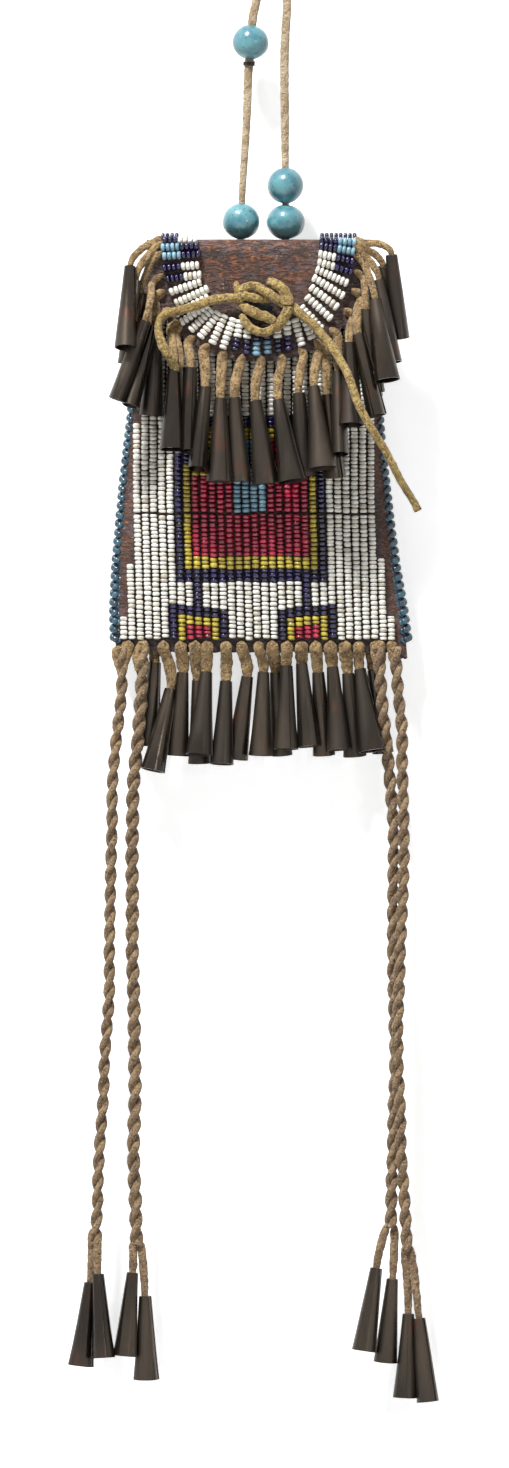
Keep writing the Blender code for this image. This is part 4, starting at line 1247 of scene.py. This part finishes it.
def make_flap_fringe():
    rng = random.Random(41)
    for number, (share, top, top_y, lean, mouth) in enumerate(FLAP_FRINGE, 1):
        u, drop = flap_edge(share)
        edge = flap_point(u, drop, -0.5 * HIDE)
        hung = Vector((edge.x + top[0], top_y, edge.z + top[1]))
        starts = [flap_point(u * (1.0 + out / FLAP_HALF), drop + down, proud)
                  for out, down, proud in (FRINGE_SEWN, FRINGE_OVER)]
        tangent = Vector((0.0, -1.0, 0.0)).cross((hung - edge).normalized())
        high = min(share, 1.0 - share) < CORNER_SHARE
        width = CORNER_THONG_WIDTH if high else THONG_WIDTH * rng.uniform(*THONG_WIDTHS)
        hang_cone(("flap_thong_%02d" % number, "flap_cone_%02d" % number), starts,
                  width, 0.7 * width, hung, lean, mouth, rng, "flap", wide=tangent)


def make_hem_fringe():
    rng = random.Random(51)
    for number, (u, top, lean, mouth) in enumerate(HEM_CONES, 1):
        front = front_y(u, HEM_Z, HEM_THONG_PROUD)
        if number in HIDDEN_HEM_THONGS:
            front += 2.0 * HIDE
        start = at(u, front, HEM_Z + HEM_THONG_RISE)
        starts = [start, start - HEM_THONG_DOWN]
        hung = at(top[0], top[1], HEM_Z + top[2])
        width = HEM_THONG_WIDTH * rng.uniform(*HEM_THONG_WIDTHS)
        hang_cone(("hem_thong_%02d" % number, "hem_cone_%02d" % number), starts, width,
                  THONG_THICK, hung, lean, mouth, rng, "pouch",
                  ["bottom_cone_%02d" % number])


def make_twisted_thongs():
    rng = random.Random(61)
    for index, (diameter, route) in enumerate(TWISTED_THONGS, 1):
        centre = smooth_route(route, 0.7)
        strand = TWIST_STRAND * diameter
        radius = TWIST_SPREAD * diameter
        shape = Shape()
        for half in (0.0, math.pi):
            run = 0.0
            line = []
            for spot, after in zip(centre, centre[1:] + centre[-1:]):
                turn = half + 2.0 * math.pi * run / TWIST_PITCH
                line.append(spot + Vector((radius * math.cos(turn),
                                           -radius * math.sin(turn), 0.0)))
                run += (after - spot).length
            shape.tube(line, strand, 0.94 * strand, sides=10, rough=0.16)
        twisted = place(shape.make("twisted_suede_%d" % index, "twisted"), "pouch", "thong",
                        "twisted_thong_%d" % index)
        pieces = []
        end = centre[-1]
        for number, side in ((2 * index - 1, -1.0), (2 * index, 1.0)):
            top, lean, mouth = TASSEL_CONES[number - 1]
            start = end + Vector((0.35 * side * diameter, 0.0, 1.2))
            pieces += hang_cone(("tassel_thong_%d" % number, "tassel_tin_%d" % number),
                                [start], TASSEL_THONG_WIDTH, TASSEL_THONG_THICK,
                                end + Vector(top), lean, mouth, rng, "pouch",
                                ["tassel_cone_%d" % number], surface="twisted")
        declare_cord(centre, diameter)


def make_twist_tops():
    for number, (width, route) in enumerate(TWIST_TOPS, 1):
        points = []
        for index, (x, z) in enumerate(route):
            front = front_y(x - POUCH_X, HEM_Z, HEM_THONG_PROUD)
            share = index / (len(route) - 1)
            points.append((x, lerp(front, 0.2, share ** 2), z))
        make_thong("twist_top_%d" % number, points, width, THONG_THICK, "pouch")


def strap_place(side, z):
    """Strap's centre line on one side at a height, and its slope there."""
    middle = len(STRAP_ROUTE) // 2
    run = STRAP_ROUTE[:middle + 1] if side == 0 else STRAP_ROUTE[:middle - 1:-1]
    for low, high in zip(run, run[1:]):
        if low[1] <= z <= high[1]:
            slope = (high[0] - low[0]) / (high[1] - low[1])
            return low[0] + slope * (z - low[1]), slope
    return run[0][0], 0.0


def make_glass_bead(number, side, z, half_width, half_height):
    """A wound glass bead, slightly flattened, with a hole for the strap."""
    x, slope = strap_place(side, z)
    axis = Vector((slope, 0.0, 1.0)).normalized()
    first, second = square_to(axis, ASIDE)
    centre = Vector((x, 0.0, z))
    hole = 0.5 * STRAP_D + GLASS_HOLE_GAP
    mouth = math.acos(hole / half_width)
    profile = [(half_width * math.cos(turn), half_height * math.sin(turn))
               for turn in even_steps(mouth, -mouth, 18)]
    profile.append((hole * 0.98, 0.0))
    lumps_at = Vector((0.0, 9.0 * number, 0.0))
    rings = []
    for radius, height in profile:
        ring = []
        for angle in circle(32):
            spot = arm(first, second, angle) * radius + axis * height
            spot *= 1.0 + 0.035 * noise.noise(spot * 0.25 + lumps_at)
            ring.append(centre + spot)
        rings.append(ring)
    shape = Shape()
    shape.loft(rings, looped=True)
    return place(shape.make("turquoise_bead_%d" % number, "glass"), "pouch", "glass",
                 "glass_bead_%d" % number)


def make_wrap():
    """Turns of dark sinew round the strap, under the upper glass bead."""
    x, slope = strap_place(0, WRAP_TOP_Z)
    line = []
    steps = WRAP_SIDES * WRAP_TURNS
    for step in range(steps + 1):
        angle = 2.0 * math.pi * step / WRAP_SIDES
        z = WRAP_TOP_Z - 0.5 * WRAP_D - (WRAP_HEIGHT - WRAP_D) * step / steps
        line.append(Vector((x + slope * (z - WRAP_TOP_Z) + WRAP_R * math.cos(angle),
                            0.8 * WRAP_R * math.sin(angle), z)))
    shape = Shape()
    shape.tube(line, WRAP_D, WRAP_D, UP, sides=8, rough=0.2)
    return place(shape.make("sinew_wrap", "sinew"), "pouch", "hide", "strap_wrap")


def strap_width(share):
    """The strap is narrow at its ends and wide over its crown."""
    if share < 0.5:
        rise = ease(0.0, 0.35, share) * ease(1.0, 0.65, share)
    else:
        rise = 1.0 - ease(0.65, 1.0, share)
    return lerp(*STRAP_WIDTHS, rise)


def make_strap():
    centre = smooth_route([(x, 0.0, z) for x, z in STRAP_ROUTE], 1.0)
    shape = Shape()
    shape.tube(centre, strap_width, STRAP_THICK, Vector((1.0, 0.0, 0.3)), sides=14,
               rough=0.12)
    strap = place(shape.make("strap_suede", "strap"), "pouch", "thong", "strap_thong")
    pieces = [make_glass_bead(number, *bead) for number, bead in enumerate(GLASS_BEADS, 1)]
    pieces.append(make_wrap())
    declare_cord(centre, STRAP_D)


def make_tie_cord(name, route, node, taper):
    centre = smooth_route(route, 0.8)
    shape = Shape()
    shape.tube(centre, lambda share: TIE_D * lerp(1.1, taper, share), 0.85 * TIE_D,
               TIE_WIDE, sides=12, rough=0.16)
    obj = place(shape.make(name, "tie"), "flap", "tie", node)
    declare_cord(centre, TIE_D)


def bellied(size):
    """Size of a knot's strand, whose ends tuck into its neighbours."""
    return lambda share: size * (0.8 + 0.2 * math.sin(math.pi * share) ** 0.5)


def make_tie():
    shape = Shape()
    for diameter, route in KNOT_STRANDS:
        shape.tube(smooth_route(route, 0.5), bellied(diameter), bellied(0.85 * diameter),
                   UP, sides=16, rough=0.24)
    place(shape.make("knot_suede", "tie"), "flap", "tie", "tie_knot")
    shape = Shape()
    shape.tube(smooth_route(TIE_BRANCH_END, 0.6), 1.16 * TIE_D, 0.95 * TIE_D, TIE_WIDE,
               sides=14, rough=0.2)
    end = place(shape.make("tie_branch_end", "tie"), "flap", "tie")
    make_tie_cord("tie_branch_suede", TIE_BRANCH, "tie_branch", 1.1)
    make_tie_cord("tie_tail_suede", TIE_TAIL, "tie_tail", 0.95)


def make_camera():
    data = bpy.data.cameras.new("Camera")
    data.sensor_width = SENSOR
    data.lens = SENSOR * VIEW_DISTANCE / VIEW_HEIGHT
    data.clip_start = 0.01
    data.clip_end = 20.0
    camera = bpy.data.objects.new("Camera", data)
    camera.location = (VIEW_X * MM, -VIEW_DISTANCE * MM, VIEW_Z * MM)
    camera.rotation_euler = (0.5 * math.pi, 0.0, 0.0)
    bpy.context.scene.collection.objects.link(camera)
    bpy.context.scene.camera = camera


def seen_or_mirrored(tree):
    """1 for a ray from the camera, off a glossy surface or through glass, else 0."""
    rays = add_node(tree, "LightPath", {}).outputs
    share = rays["Is Camera Ray"]
    for kind in ("Is Glossy Ray", "Is Transmission Ray"):
        share = add_math(tree, "MAXIMUM", share, rays[kind])
    return share


def backdrop_surface(name, white, shine, seen_through):
    """Pale paper that glows a little to the camera and keeps its shadows. Seen from
    its back it is clear, where it stands behind the object."""
    made = bpy.data.materials.new(name)
    made.use_nodes = True
    tree = made.node_tree
    paper = tree.nodes["Principled BSDF"]
    glow = add_math(tree, "MULTIPLY", seen_or_mirrored(tree), shine)
    for name, value in (("Base Color", (white, white, white, 1.0)), ("Roughness", 0.9),
                        ("Emission Color", (1.0, 1.0, 1.0, 1.0)),
                        ("Emission Strength", glow)):
        put(tree, paper.inputs[name], value)
    if seen_through:
        facing = add_node(tree, "NewGeometry", {})
        clear = add_node(tree, "BsdfTransparent", {})
        choice = add_node(tree, "MixShader", {"Fac": facing.outputs["Backfacing"],
                                              1: paper.outputs[0], 2: clear.outputs[0]})
        tree.links.new(choice.outputs[0], tree.nodes["Material Output"].inputs["Surface"])
    return made


def make_stage():
    for name, spot, tip, size, white, shine, seen_through in SHEETS:
        bpy.ops.mesh.primitive_plane_add(size=size * MM, location=Vector(spot) * MM,
                                         rotation=(tip, 0.0, 0.0))
        stood = bpy.context.object
        stood.name = name
        stood.data.materials.append(backdrop_surface(name, white, shine, seen_through))


def make_lamp(name, spot, size, power):
    data = bpy.data.lights.new(name, "AREA")
    data.shape = "DISK"
    data.size = size * MM
    data.energy = power
    lamp = bpy.data.objects.new(name, data)
    lamp.location = Vector(spot) * MM
    aim = Vector((0.0, 0.0, VIEW_Z)) - Vector(spot)
    lamp.rotation_euler = aim.to_track_quat("-Z", "Y").to_euler()
    bpy.context.scene.collection.objects.link(lamp)


def make_light():
    for lamp in LAMPS:
        make_lamp(*lamp)
    world = bpy.data.worlds.new("World")
    bpy.context.scene.world = world
    world.use_nodes = True
    tree = world.node_tree
    ground = tree.nodes["Background"]
    ground.inputs["Color"].default_value = (1.0, 1.0, 1.0, 1.0)
    level = add_node(tree, "MapRange", {"Value": seen_or_mirrored(tree),
                                        "To Min": WORLD_LIGHT, "To Max": 1.0})
    tree.links.new(level.outputs["Result"], ground.inputs["Strength"])
    bpy.context.scene.view_settings.view_transform = "Standard"


make_camera()
make_strap()
make_twisted_thongs()
make_twist_tops()
make_tie()
make_hide()
make_hide_front()
make_front_beads()
make_edge_beading("edge_string_left", -1.0)
make_edge_beading("edge_string_right", 1.0)
make_flap_beads()
make_flap_fringe()
make_hem_fringe()
make_stage()
make_light()

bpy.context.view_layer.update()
